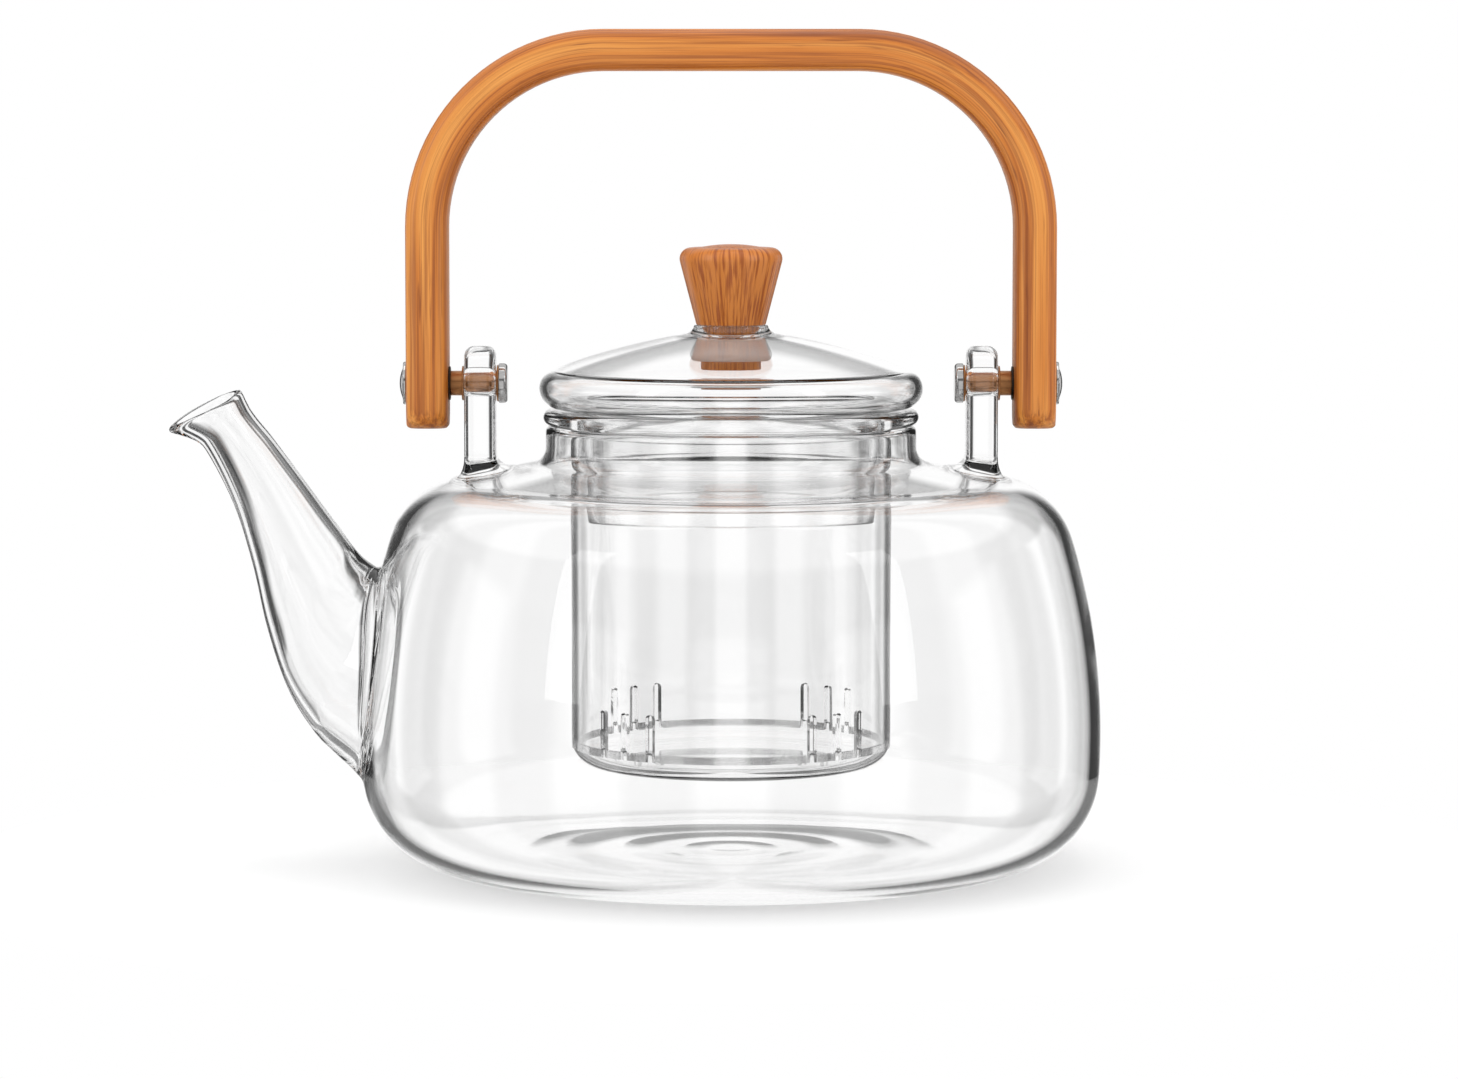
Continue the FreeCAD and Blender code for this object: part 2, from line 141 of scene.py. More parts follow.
class CupSizes(bpy.types.PropertyGroup):
    """Sizes of the infuser and the lid."""

    infuser_radius: length("Infuser radius", 34.3, "Outside radius of the infuser")
    infuser_wall: length("Infuser wall", 1.5, "Thickness of the infuser's wall")
    infuser_floor: length("Infuser floor", 1.6, "Thickness of the infuser's floor")
    infuser_corner: length("Infuser corner", 5.5, "Radius of the infuser's lower edge")
    infuser_depth: length("Infuser depth", 73.0, "Depth of the infuser under its flange")
    seat_height: length("Seat height", 94.8, "Height of the flange's underside")
    flange_radius: length("Flange radius", 40.2, "Radius of the flange on the rim")
    flange_thickness: length("Flange thickness", 3.4, "Thickness of the flange")
    flange_fillet: length("Flange fillet", 1.6, "Radius under the flange")
    mouth_round: length("Mouth round", 4.0, "Radius of the infuser's mouth")
    slot_width: length("Slot width", 1.7, "Width of a strainer slot")
    slot_length: length("Slot length", 10.0, "Length of a strainer slot")
    slot_above_floor: length("Slot height", 2.4, "Height of the slots above the floor")
    lid_gap: length("Lid gap", 0.2, "Gap between the flange and the lid")
    lid_radius: length("Lid radius", 41.1, "Outside radius of the lid")
    lid_wall: length("Lid wall", 1.6, "Thickness of the lid's wall")
    lid_roll: length("Lid roll", 4.3, "Radius of the lid's rolled edge")
    dome_radius: length("Dome arc", 163.0, "Radius of the lid's dome")
    dome_angle: angle("Dome angle", 70.0, "Angle where the roll turns into the dome")
    collar_radius: length("Collar radius", 7.9, "Radius of the lid's collar")
    collar_fillet: length("Collar fillet", 2.2, "Radius between the dome and the collar")
    collar_height: length("Collar height", 0.85, "Height of the collar above the middle of its fillet")
    collar_bevel: length("Collar bevel", 0.35, "Radius along the collar's edges")
    collar_bore: length("Collar bore", 6.6, "Radius of the hole in the collar")
    skirt_top: length("Skirt top", 32.0, "Outside radius of the skirt at its top")
    skirt_bottom: length("Skirt bottom", 30.5, "Outside radius of the skirt at its end")
    skirt_wall: length("Skirt wall", 1.3, "Thickness of the skirt")
    skirt_length: length("Skirt length", 22.0, "Length of the skirt")
    skirt_fillet: length("Skirt fillet", 1.4, "Radius between the lid and the skirt")
    plug_seat_radius: length("Plug seat", 10.4, "Radius of the flat that the plug bears on")


class WoodSizes(bpy.types.PropertyGroup):
    """Sizes of the bamboo handle and the wooden knob."""

    bail_thickness: length("Bail thickness", 8.9, "Thickness of the bamboo strip")
    bail_depth: length("Bail depth", 15.0, "Depth of the bamboo strip")
    bail_edge_round: length("Bail edge", 2.8, "Radius along the strip's edges")
    bail_corner: length("Bail corner", 33.2, "Inside radius of the strip's bends")
    leg_round: length("Leg round", 4.5, "Radius of a leg's lower corners")
    leg_edge: length("Leg edge", 0.9, "Radius of a leg's end edges")
    knob_bottom: length("Knob bottom", 7.4, "Radius of the knob on the collar")
    knob_top: length("Knob top", 11.7, "Radius of the knob's upper corner before rounding")
    knob_round: length("Knob round", 2.4, "Radius of the knob's upper edge")
    knob_crown: length("Knob crown", 0.7, "Rise of the knob's top")
    knob_bevel: length("Knob bevel", 0.3, "Radius along the edges of the knob's foot and stem")
    stem_radius: length("Stem radius", 6.4, "Radius of the knob's stem")
    plug_neck: length("Plug neck", 7.4, "Radius of the plug at its top")
    plug_flare: length("Plug flare", 9.5, "Radius of the plug's lower corner before rounding")
    plug_round: length("Plug round", 1.3, "Radius of the plug's lower edge")


class PinSizes(bpy.types.PropertyGroup):
    """Sizes of the pins on which the handle swings."""

    head_thickness: length("Head thickness", 1.9, "Thickness of the head inside a lug")
    head_round: length("Head round", 0.75, "Radius along the face of the head inside a lug")
    head_edge: length("Head edge", 0.25, "Radius along the back of the head inside a lug")
    sleeve_fillet: length("Sleeve fillet", 0.1, "Radius between the head and the sleeve")
    sleeve_edge: length("Sleeve edge", 0.2, "Radius along the end of the sleeve")
    sleeve_radius: length("Sleeve radius", 2.0, "Radius of the sleeve inside the tube")
    tube_bore: length("Tube bore", 2.05, "Radius of the bore of a tube and of a leg's washer")
    washer_bore: length("Washer bore", 2.65, "Radius of the bore of a lug's washer")
    ring_edge: length("Ring edge", 0.12, "Radius along the edges of tubes and washers")
    screw_edge: length("Screw edge", 0.45, "Radius along the edge of a screw's head")
    screw_back: length("Screw back", 0.2, "Radius along the back of a screw's head")
    shank_radius: length("Shank radius", 1.4, "Radius of a screw's shank")
    shank_length: length("Shank length", 1.0, "Length of a screw's shank under its head")


class Finish(bpy.types.PropertyGroup):
    """Colours and finishes."""

    glass_ior: number("Glass IOR", 1.47, "Refraction of the glass")
    glass_wave: number("Glass wave", 0.05, "Strength of the waviness of blown glass")
    bamboo_light: colour("Bamboo light", (0.82, 0.335, 0.062), "Pale fibres of the bamboo")
    bamboo_mid: colour("Bamboo", (0.62, 0.19, 0.018), "Main colour of the bamboo")
    bamboo_dark: colour("Bamboo dark", (0.36, 0.092, 0.008), "Dark fibres of the bamboo")
    bamboo_streak: colour("Bamboo streaks", (0.60, 0.50, 0.40), "Shade of the fine streaks over the bamboo")
    bamboo_fleck: colour("Bamboo flecks", (0.55, 0.45, 0.36), "Shade of the short flecks over the bamboo")
    knob_light: colour("Knob light", (0.66, 0.22, 0.036), "Pale wood of the knob")
    knob_pore: colour("Knob pores", (0.52, 0.34, 0.18), "Shade of the pores over the knob")
    steel: colour("Steel", (0.46, 0.455, 0.45), "Polished pin heads")
    steel_roughness: number("Steel roughness", 0.13, "Roughness of the pin heads")
    bronze: colour("Bronze", (0.42, 0.19, 0.075), "Spacer tubes and lug washers")
    bronze_roughness: number("Bronze roughness", 0.3, "Roughness of the tubes and lug washers")
    dark_washer: colour("Dark washer", (0.05, 0.04, 0.035), "Washers against the legs")
    washer_roughness: number("Washer roughness", 0.45, "Roughness of the washers against the legs")
    silicone: colour("Silicone", (0.95, 0.95, 0.94), "Frosted plug under the lid")


class Stage(bpy.types.PropertyGroup):
    """Camera, light and floor."""

    camera_aim: bpy.props.FloatVectorProperty(
        name="Aim", description="Point that the camera looks at",
        default=(-0.43 * MM, 0.0, 70.1 * MM), subtype="TRANSLATION", unit="LENGTH",
    )
    camera_distance: length("Camera distance", 1100.0, "Distance from the aim to the camera")
    camera_elevation: angle("Camera elevation", 5.0, "Height of the view above the horizon")
    camera_lens: number("Lens", 126.57, "Focal length in millimetres on a 36 mm sensor")
    floor_radius: length("Floor radius", 170.0, "Radius of the floor")
    floor_gap: length("Floor gap", 0.05, "Gap between the floor and the foot")
    side_lamp_power: number("Side lamps", 2.2, "Power of each side lamp in watts")
    top_lamp_power: number("Top lamp", 2.5, "Power of the overhead lamp in watts")
    strip_darkness: number("Dark strips", 0.05, "Brightness of the dark strips round the studio")
    ring_darkness: number("Dark ring", 0.2, "Brightness of the ring under the overhead light")
    floor_lift: number("Floor lift", 0.48, "Light that brings the lit floor up to white")
    floor_fade: number("Floor fade", 0.85, "How far the floor clears away behind glass")


# Lines and arcs of half sections, as rows of radius and height

def arc(centre, radius, start, end, steps):
    """Points on a circle between two angles in degrees."""
    turns = np.radians(np.linspace(start, end, steps + 1))
    return np.stack([centre[0] + radius * np.cos(turns), centre[1] + radius * np.sin(turns)], 1)


def straight(start, end, steps):
    """Points on a line between two points."""
    return np.linspace(start, end, steps + 1)


def polar(centre, radius, degrees):
    """Point on a circle at an angle in degrees."""
    return arc(centre, radius, degrees, degrees, 0)[0]


def rounded(points, rounds, steps=8, spacing=3 * MM):
    """A run of straight lines with a tangent arc at each inner corner."""
    points = [np.array(point, float) for point in points]
    start = points[0]
    parts = []
    for corner, after, radius in zip(points[1:-1], points[2:], rounds):
        back = (start - corner) / np.linalg.norm(start - corner)
        ahead = (after - corner) / np.linalg.norm(after - corner)
        half = 0.5 * math.acos(np.clip(back @ ahead, -1, 1))
        first = corner + back * radius / math.tan(half)
        last = corner + ahead * radius / math.tan(half)
        centre = corner + (back + ahead) / np.linalg.norm(back + ahead) * radius / math.sin(half)
        parts.append(straight(start, first, spans(start, first, spacing)))
        swing = math.pi - 2 * half
        share = np.linspace(0, 1, steps + 1)[:, None]
        spread = np.sin((1 - share) * swing) * (first - centre) + np.sin(share * swing) * (last - centre)
        parts.append(centre + spread / math.sin(swing))
        start = last
    parts.append(straight(start, points[-1], spans(start, points[-1], spacing)))
    return stroke(*parts)


def spans(start, end, spacing):
    """How many steps of about a spacing fit between two points."""
    return max(1, round(float(np.linalg.norm(np.array(end) - start)) / spacing))


def stroke(*parts):
    """Joins runs of points and drops the repeated ones."""
    points = np.concatenate(parts)
    keep = np.ones(len(points), bool)
    keep[1:] = np.linalg.norm(np.diff(points, axis=0), axis=1) > SAME
    return points[keep]


# Meshes

class Skin:
    """Points and faces of one closed surface."""

    def __init__(self):
        self.points = []
        self.faces = []

    def add(self, points):
        """Adds an array of points and gives an array of their numbers."""
        points = np.asarray(points, float)
        first = len(self.points)
        self.points.extend(points.reshape(-1, 3).tolist())
        return np.arange(first, len(self.points)).reshape(points.shape[:-1])

    def lace(self, rows, closed=False, skip=()):
        """Faces between rings of points, and from the last ring to the first where closed."""
        count = len(rows) if closed else len(rows) - 1
        for i in range(count):
            low, high = rows[i], rows[(i + 1) % len(rows)]
            for j in range(len(low)):
                if (i, j) not in skip:
                    k = (j + 1) % len(low)
                    self.faces.append((low[j], low[k], high[k], high[j]))

    def fan(self, ring, point):
        """Faces from a ring to one point."""
        tip = self.add([point])[0]
        for j in range(len(ring)):
            self.faces.append((ring[j], ring[(j + 1) % len(ring)], tip))

    def mesh(self, name):
        """A mesh of the points that faces use, with the faces turned outwards."""
        used = sorted({int(i) for face in self.faces for i in face})
        number_of = {old: new for new, old in enumerate(used)}
        mesh = bpy.data.meshes.new(name)
        faces = [tuple(number_of[int(i)] for i in face) for face in self.faces]
        mesh.from_pydata([self.points[i] for i in used], [], faces)
        shape = bmesh.new()
        shape.from_mesh(mesh)
        bmesh.ops.recalc_face_normals(shape, faces=shape.faces)
        shape.to_mesh(mesh)
        shape.free()
        return mesh

    def piece(self, name, material, body, slot, nodes):
        """Makes the mesh's object and puts it in the place of CAD nodes."""
        return place(name, self.mesh(name), material, body, slot, nodes)


def place(name, mesh, material, body, slot, nodes):
    """Makes a smooth object of a mesh, which rides a body and replaces CAD nodes."""
    mesh.polygons.foreach_set("use_smooth", [True] * len(mesh.polygons))
    mesh.set_sharp_from_angle(angle=SHARP_ANGLE)
    mesh.materials.clear()
    mesh.materials.append(material)
    piece = bpy.data.objects.new(name, mesh)
    bpy.context.scene.collection.objects.link(piece)
    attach(piece, body)
    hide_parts(*nodes)
    return piece


def carry_grain(piece, vectors):
    """Gives each point of a wooden piece its place in the grain."""
    layer = piece.data.attributes.new(GRAIN, "FLOAT_VECTOR", "POINT")
    layer.data.foreach_set("vector", np.array(vectors, np.float32).ravel())


def spun(profile, columns):
    """Rings of points from a half section turned about the Z axis."""
    turns = np.arange(columns) * 2 * math.pi / columns
    radius, height = profile[:, 0, None], profile[:, 1, None]
    heights = np.broadcast_to(height, (len(profile), columns))
    return np.stack([radius * np.cos(turns), radius * np.sin(turns), heights], -1)


def turned(profile, columns, closed):
    """Skin of a half section turned about Z: a closed loop, or a run with both ends on the axis."""
    skin = Skin()
    if closed:
        rows = skin.add(spun(profile, columns))
        skin.lace(rows, closed=True)
        return skin
    rows = skin.add(spun(profile[1:-1], columns))
    skin.lace(rows)
    skin.fan(rows[0], (0, 0, profile[0, 1]))
    skin.fan(rows[-1], (0, 0, profile[-1, 1]))
    return skin


# Materials

def new_material(name):
    """A new material with its nodes, links and main shader."""
    material = bpy.data.materials.new(FINISH_PREFIX + name)
    material.use_nodes = True
    nodes = material.node_tree.nodes
    shader = next(node for node in nodes if node.type == "BSDF_PRINCIPLED")
    return material, nodes, material.node_tree.links, shader


def place_vector(nodes):
    """Each point's place on its own object."""
    return nodes.new("ShaderNodeTexCoord").outputs["Object"]


def grain_vector(nodes):
    """The place in the grain that each point of a wooden piece carries."""
    carried = nodes.new("ShaderNodeAttribute")
    carried.attribute_name = GRAIN
    return carried.outputs["Vector"]


def noise(nodes, links, vector, scale, detail, stretch=EVEN):
    """Noise over a vector that is stretched by three factors."""
    mapping = nodes.new("ShaderNodeMapping")
    mapping.inputs["Scale"].default_value = stretch
    texture = nodes.new("ShaderNodeTexNoise")
    texture.inputs["Scale"].default_value = scale
    texture.inputs["Detail"].default_value = detail
    links.new(vector, mapping.inputs["Vector"])
    links.new(mapping.outputs["Vector"], texture.inputs["Vector"])
    return texture.outputs["Fac"]


def ramp(nodes, links, factor, stops):
    """Colours along a factor, as pairs of place and colour."""
    node = nodes.new("ShaderNodeValToRGB")
    elements = node.color_ramp.elements
    while len(elements) < len(stops):
        elements.new(0.5)
    for element, (position, shade) in zip(elements, stops):
        element.position = position
        element.color = (*shade, 1)
    links.new(factor, node.inputs["Fac"])
    return node.outputs["Color"]


def mix(nodes, links, factor, first, second, blend="MIX"):
    """Two colour sockets mixed by a factor, which is a socket or a number."""
    node = nodes.new("ShaderNodeMix")
    node.data_type = "RGBA"
    node.blend_type = blend
    if isinstance(factor, float):
        node.inputs[0].default_value = factor
    else:
        links.new(factor, node.inputs[0])
    links.new(first, node.inputs[6])
    links.new(second, node.inputs[7])
    return node.outputs[2]


def bump(nodes, links, shader, height, strength, distance):
    """Fine relief on a shader."""
    node = nodes.new("ShaderNodeBump")
    node.inputs["Strength"].default_value = strength
    node.inputs["Distance"].default_value = distance
    links.new(height, node.inputs["Height"])
    links.new(node.outputs["Normal"], shader.inputs["Normal"])


def span(nodes, links, value, low, high, start=0.0):
    """A factor that runs from a start to 1, spread between two values."""
    node = nodes.new("ShaderNodeMapRange")
    node.inputs["From Min"].default_value = start
    node.inputs["To Min"].default_value = low
    node.inputs["To Max"].default_value = high
    links.new(value, node.inputs["Value"])
    return node.outputs["Result"]


def clear_glass(finish):
    """Clear glass with the faint waves of blowing."""
    material, nodes, links, shader = new_material("clear_glass")
    shader.inputs["Base Color"].default_value = (*WHITE, 1)
    shader.inputs["Roughness"].default_value = 0.0
    shader.inputs["IOR"].default_value = finish.glass_ior
    shader.inputs["Transmission Weight"].default_value = 1.0
    wave = noise(nodes, links, place_vector(nodes), scale=22.0, detail=1.0, stretch=(1.0, 1.0, 1.6))
    bump(nodes, links, shader, wave, finish.glass_wave, distance=2 * MM)
    return material


def bamboo(finish):
    """Long fibres along the strip, read from the grain vector that each point carries."""
    material, nodes, links, shader = new_material("bamboo")
    vector = grain_vector(nodes)
    broad = noise(nodes, links, vector, scale=1.0, detail=3.0, stretch=(420.0, 420.0, 9.0))
    fine = noise(nodes, links, vector, scale=1.0, detail=2.0, stretch=(1300.0, 1300.0, 14.0))
    hair = noise(nodes, links, vector, scale=1.0, detail=2.0, stretch=(3200.0, 3200.0, 45.0))
    flecks = noise(nodes, links, vector, scale=1.0, detail=2.0, stretch=(900.0, 900.0, 55.0))
    body = ramp(nodes, links, broad, [
        (0.30, finish.bamboo_dark), (0.46, finish.bamboo_mid), (0.66, finish.bamboo_light),
    ])
    fibres = mix(nodes, links, 0.45, fine, hair)
    streak = ramp(nodes, links, fibres, [(0.40, finish.bamboo_streak), (0.55, WHITE)])
    shade = mix(nodes, links, 0.95, body, streak, "MULTIPLY")
    dark = ramp(nodes, links, flecks, [(0.27, finish.bamboo_fleck), (0.35, WHITE)])
    links.new(mix(nodes, links, 0.85, shade, dark, "MULTIPLY"), shader.inputs["Base Color"])
    links.new(span(nodes, links, fine, low=0.34, high=0.52), shader.inputs["Roughness"])
    shader.inputs["Coat Weight"].default_value = 0.12
    shader.inputs["Coat Roughness"].default_value = 0.25
    bump(nodes, links, shader, fine, strength=0.25, distance=0.4 * MM)
    return material


def knob_wood(finish):
    """Upright pores in warm wood, read from the grain vector that each point carries."""
    material, nodes, links, shader = new_material("knob_wood")
    vector = grain_vector(nodes)
    broad = noise(nodes, links, vector, scale=1.0, detail=3.0, stretch=(260.0, 260.0, 60.0))
    pores = noise(nodes, links, vector, scale=1.0, detail=3.0, stretch=(2300.0, 2300.0, 130.0))
    body = ramp(nodes, links, broad, [(0.32, finish.bamboo_mid), (0.62, finish.knob_light)])
    lines = ramp(nodes, links, pores, [(0.38, finish.knob_pore), (0.54, WHITE)])
    links.new(mix(nodes, links, 0.9, body, lines, "MULTIPLY"), shader.inputs["Base Color"])
    links.new(span(nodes, links, pores, low=0.32, high=0.46), shader.inputs["Roughness"])
    shader.inputs["Coat Weight"].default_value = 0.15
    shader.inputs["Coat Roughness"].default_value = 0.2
    bump(nodes, links, shader, pores, strength=0.2, distance=0.4 * MM)
    return material


def toned(shade, share):
    """A colour made darker or paler by a share."""
    return tuple(min(1, share * part) for part in shade)


def metal(name, shade, roughness):
    """Polished or drawn metal with faint scuffs."""
    material, nodes, links, shader = new_material(name)
    scuffs = noise(nodes, links, place_vector(nodes), scale=1.0, detail=4.0, stretch=(500.0, 2600.0, 2600.0))
    tint = ramp(nodes, links, scuffs, [(0.3, toned(shade, 0.86)), (0.7, toned(shade, 1.06))])
    links.new(tint, shader.inputs["Base Color"])
    shader.inputs["Metallic"].default_value = 1.0
    rough = span(nodes, links, scuffs, low=0.8 * roughness, high=1.2 * roughness)
    links.new(rough, shader.inputs["Roughness"])
    bump(nodes, links, shader, scuffs, strength=0.04, distance=0.2 * MM)
    return material


def silicone(finish):
    """Frosted plug that lets light through."""
    material, nodes, links, shader = new_material("silicone")
    cloud = noise(nodes, links, place_vector(nodes), scale=320.0, detail=3.0)
    tint = ramp(nodes, links, cloud, [(0.3, toned(finish.silicone, 0.93)), (0.7, finish.silicone)])
    links.new(tint, shader.inputs["Base Color"])
    shader.inputs["Transmission Weight"].default_value = 0.05
    shader.inputs["IOR"].default_value = 1.41
    links.new(span(nodes, links, cloud, low=0.42, high=0.58), shader.inputs["Roughness"])
    bump(nodes, links, shader, cloud, strength=0.05, distance=0.3 * MM)
    return material


def shared(name, maker, *arguments):
    """The material of that name, made once."""
    return bpy.data.materials.get(FINISH_PREFIX + name) or maker(*arguments)


# Pot

def vessel_wall(s, inset):
    """Half section of the vessel from the foot to the top of its neck, set in from the outside."""
    corner_angle = math.degrees(s.corner_angle)
    shoulder_angle = math.degrees(s.shoulder_angle)
    side_centre = np.array([s.belly_radius - s.side_radius, s.belly_height])
    corner_z = s.foot_radius - (s.foot_radius - s.corner_radius) * math.sin(s.corner_angle)
    low = math.degrees(math.asin((corner_z - s.belly_height) / (s.side_radius - s.corner_radius)))
    high = math.degrees(math.asin((s.side_top - s.belly_height) / s.side_radius))
    corner_centre = polar(side_centre, s.side_radius - s.corner_radius, low)
    foot_centre = polar(corner_centre, s.foot_radius - s.corner_radius, 180 - corner_angle)
    shoulder_centre = polar(side_centre, s.side_radius - s.shoulder_radius, high)
    end = polar(shoulder_centre, s.shoulder_radius, shoulder_angle)
    slope = math.tan(math.pi / 2 - s.shoulder_angle)
    turn_radius = s.neck_radius + s.neck_fillet
    turn_rise = s.neck_fillet / math.cos(math.pi / 2 - s.shoulder_angle)
    turn_z = end[1] + (end[0] - turn_radius) * slope + turn_rise
    rim = end[1] + (end[0] - s.neck_radius) * slope + s.neck_length
    turn = np.array([turn_radius, turn_z])
    return rim, stroke(
        arc(foot_centre, s.foot_radius - inset, -90, -corner_angle, 5),
        arc(corner_centre, s.corner_radius - inset, -corner_angle, low, 13),
        arc(side_centre, s.side_radius - inset, low, high, 21),
        arc(shoulder_centre, s.shoulder_radius - inset, high, shoulder_angle, 13),
        straight(
            polar(shoulder_centre, s.shoulder_radius - inset, shoulder_angle),
            polar(turn, s.neck_fillet + inset, 180 + shoulder_angle), 11,
        ),
        arc(turn, s.neck_fillet + inset, 180 + shoulder_angle, 180, 6),
        straight((s.neck_radius - inset, turn_z), (s.neck_radius - inset, rim - s.wall / 2), 3),
    )


# Columns of a half section
RADIUS = 0
HEIGHT = 1
# Share of a skin's rows that lie in the base, and of the base's radius over which its rings rise
BASE_SHARE = 0.3
RIPPLE_FADE = 0.3
# Steps from the hollow under the base to the foot, and over the base's floor
FOOT_STEPS = 4
FLOOR_STEPS = 48
# Share of a hole's size inside which its grid is left out, and at which the skin's lean is read
HOLE_EDGE = 0.999
LEAN_SHARE = 0.9


class PotGrid:
    """Grid of the vessel's turned skin, by row along its half section and column round the axis."""

    def __init__(self, sizes):
        rim, outer = vessel_wall(sizes, 0)
        inner = vessel_wall(sizes, sizes.wall)[1]
        punt = (sizes.punt_radius ** 2 + sizes.punt_height ** 2) / (2 * sizes.punt_height)
        edge = math.degrees(math.acos(sizes.punt_radius / punt))
        under = arc((0, sizes.punt_height - punt), punt, 90, edge, 16)
        rim_arc = arc((sizes.neck_radius - sizes.wall / 2, rim - sizes.wall / 2), sizes.wall / 2, 0, 180, 8)
        floor = straight(inner[0], (0, sizes.wall), FLOOR_STEPS)
        base, reach = inner[0, RADIUS], floor[:, RADIUS]
        fade = np.clip((base - reach) / (RIPPLE_FADE * base), 0, 1)
        floor[:, HEIGHT] += sizes.base_ripple * fade * np.cos(2 * math.pi * reach / sizes.ripple_gap)
        foot = straight(under[-1], outer[0], FOOT_STEPS)
        self.profile = stroke(under, foot, outer, rim_arc, inner[::-1], floor)
        steps = np.linalg.norm(np.diff(self.profile, axis=0), axis=1)
        self.along = np.concatenate([[0], np.cumsum(steps)])
        self.turn_row = len(under) + FOOT_STEPS - 1 + len(outer)
        self.step = 2 * math.pi / POT_COLUMNS
        rows = len(self.profile)
        self.place = np.repeat(self.along[:, None], POT_COLUMNS, 1)
        self.turn = np.repeat((np.arange(POT_COLUMNS) * self.step)[None], rows, 0)
        self.cut = set()

    def at(self, along, turn):
        """Points of the skin at lengths along the half section and turns round the axis."""
        radius = np.interp(along, self.along, self.profile[:, RADIUS])
        height = np.interp(along, self.along, self.profile[:, HEIGHT])
        return np.stack([radius * np.cos(turn), radius * np.sin(turn), height], -1)

    def row_at(self, outside, value, which):
        """Row of the outer or inner wall whose radius or height is nearest to a value."""
        rows = range(self.turn_row) if outside else range(self.turn_row, len(self.profile))
        start = int(len(rows) * BASE_SHARE) if outside else 0
        stop = len(rows) if outside else int(len(rows) * (1 - BASE_SHARE))
        return min(rows[start:stop], key=lambda row: abs(self.profile[row, which] - value))

    def open(self, row, centre_turn, hole, block, up, half_along, half_across, squareness):
        """Opens a hole whose edge is a rounded outline, and gives its edge as turns and grid places."""
        column = round(centre_turn / self.step)
        middle = self.along[row]

        def outline(theta, scale):
            """Length along the half section and turn of a place on the hole's outline, scaled."""
            c, w = math.cos(theta), math.sin(theta)
            along = middle + up * half_along * scale * math.copysign(abs(c) ** (2 / squareness), c)
            across = half_across * scale * math.copysign(abs(w) ** (2 / squareness), w)
            radius = float(np.interp(along, self.along, self.profile[:, RADIUS]))
            return along, math.asin(max(-1, min(1, across / radius)))

        edge = []
        for i in range(-block[0], block[0] + 1):
            for j in range(-block[1], block[1] + 1):
                share = max(
                    (abs(i) - hole[0]) / (block[0] - hole[0]), (abs(j) - hole[1]) / (block[1] - hole[1]), 0
                )
                half = [hole[k] + share * (block[k] - hole[k]) for k in (0, 1)]
                p, q = i / half[0], j / half[1]
                if max(abs(p), abs(q)) < HOLE_EDGE:
                    continue
                theta = square_turn(p * up, q)
                along, across = outline(theta, 1.0)
                free_along = float(np.interp(row + p * block[0], np.arange(len(self.along)), self.along))
                free_across = q * block[1] * self.step
                spot = (row + i, (column + j) % POT_COLUMNS)
                self.place[spot] = (1 - share) * along + share * free_along
                self.turn[spot] = centre_turn + (1 - share) * across + share * free_across
                if share == 0:
                    edge.append((theta % (2 * math.pi), spot))
        for i in range(-hole[0], hole[0]):
            for j in range(-hole[1], hole[1]):
                self.cut.add((row + i, (column + j) % POT_COLUMNS))
        edge.sort()
        thetas = np.array([theta for theta, spot in edge])
        points, inside = (
            self.at(*np.array([outline(t, scale) for t in thetas]).T + np.array([[0], [centre_turn]]))
            for scale in (1.0, LEAN_SHARE)
        )
        lean = inside - points
        lean /= np.linalg.norm(lean, axis=1)[:, None]
        return thetas, [spot for theta, spot in edge], points, lean


def square_turn(p, q):
    """Turn round a circle for a place on the edge of a square, from its top towards positive q."""
    if abs(p) >= abs(q):
        return math.pi / 4 * q / p if p > 0 else math.pi - math.pi / 4 * q / -p
    return math.pi / 2 - math.pi / 4 * p / q if q > 0 else 1.5 * math.pi + math.pi / 4 * p / -q


def swept(share, start, leave, end, arrive):
    """Place at a share of the smooth curve between two points with a slope at each."""
    square, cube = share ** 2, share ** 3
    return (
        (2 * cube - 3 * square + 1) * start + (cube - 2 * square + share) * leave
        + (3 * square - 2 * cube) * end + (cube - square) * arrive
    )


def weld(points, lean, ring, rise, pulls, steps):
    """Rings that sweep smoothly from an edge on the skin to the first ring of what is welded on."""
    shares = np.linspace(0, 1, steps + 1)[1:-1]
    return [swept(share, points, pulls[0] * lean, ring, pulls[1] * rise) for share in shares]


# Places along the spout: distance outside the belly, height, half length and half width in mm, and
# tilt in degrees
SPOUT_STATIONS = np.array([
    (0.6, 43.0, 21.0, 18.6, 77.0),
    (7.1, 50.9, 17.2, 15.6, 64.5),
    (12.5, 62.0, 13.7, 12.6, 57.0),
    (17.7, 74.4, 10.4, 9.8, 57.0),
    (23.0, 85.4, 7.8, 7.6, 53.0),
    (28.7, 94.6, 6.5, 6.6, 39.0),
    (30.6, 97.6, 6.8, 7.0, 36.5),
])


def through(knots, values, place):
    """Smooth curve through values at knots."""
    slopes = np.gradient(values, knots, axis=0)
    i = int(np.clip(np.searchsorted(knots, place) - 1, 0, len(knots) - 2))
    gap = knots[i + 1] - knots[i]
    share = (place - knots[i]) / gap
    return swept(share, values[i], gap * slopes[i], values[i + 1], gap * slopes[i + 1])


# Shares of the spout's length where its weld ends, where its root has thinned out and where its lip
# starts
SPOUT_START = 0.06
ROOT_SHARE = 0.25
LIP_START = 0.93
# How far the inside of the pouring lip draws back in mm, and the way in which the mouth's sides rise
LIP_THICKENING = np.array([0.3, 0, 0.8])
ARCH_WAY = np.array([-0.5, 0, 1])


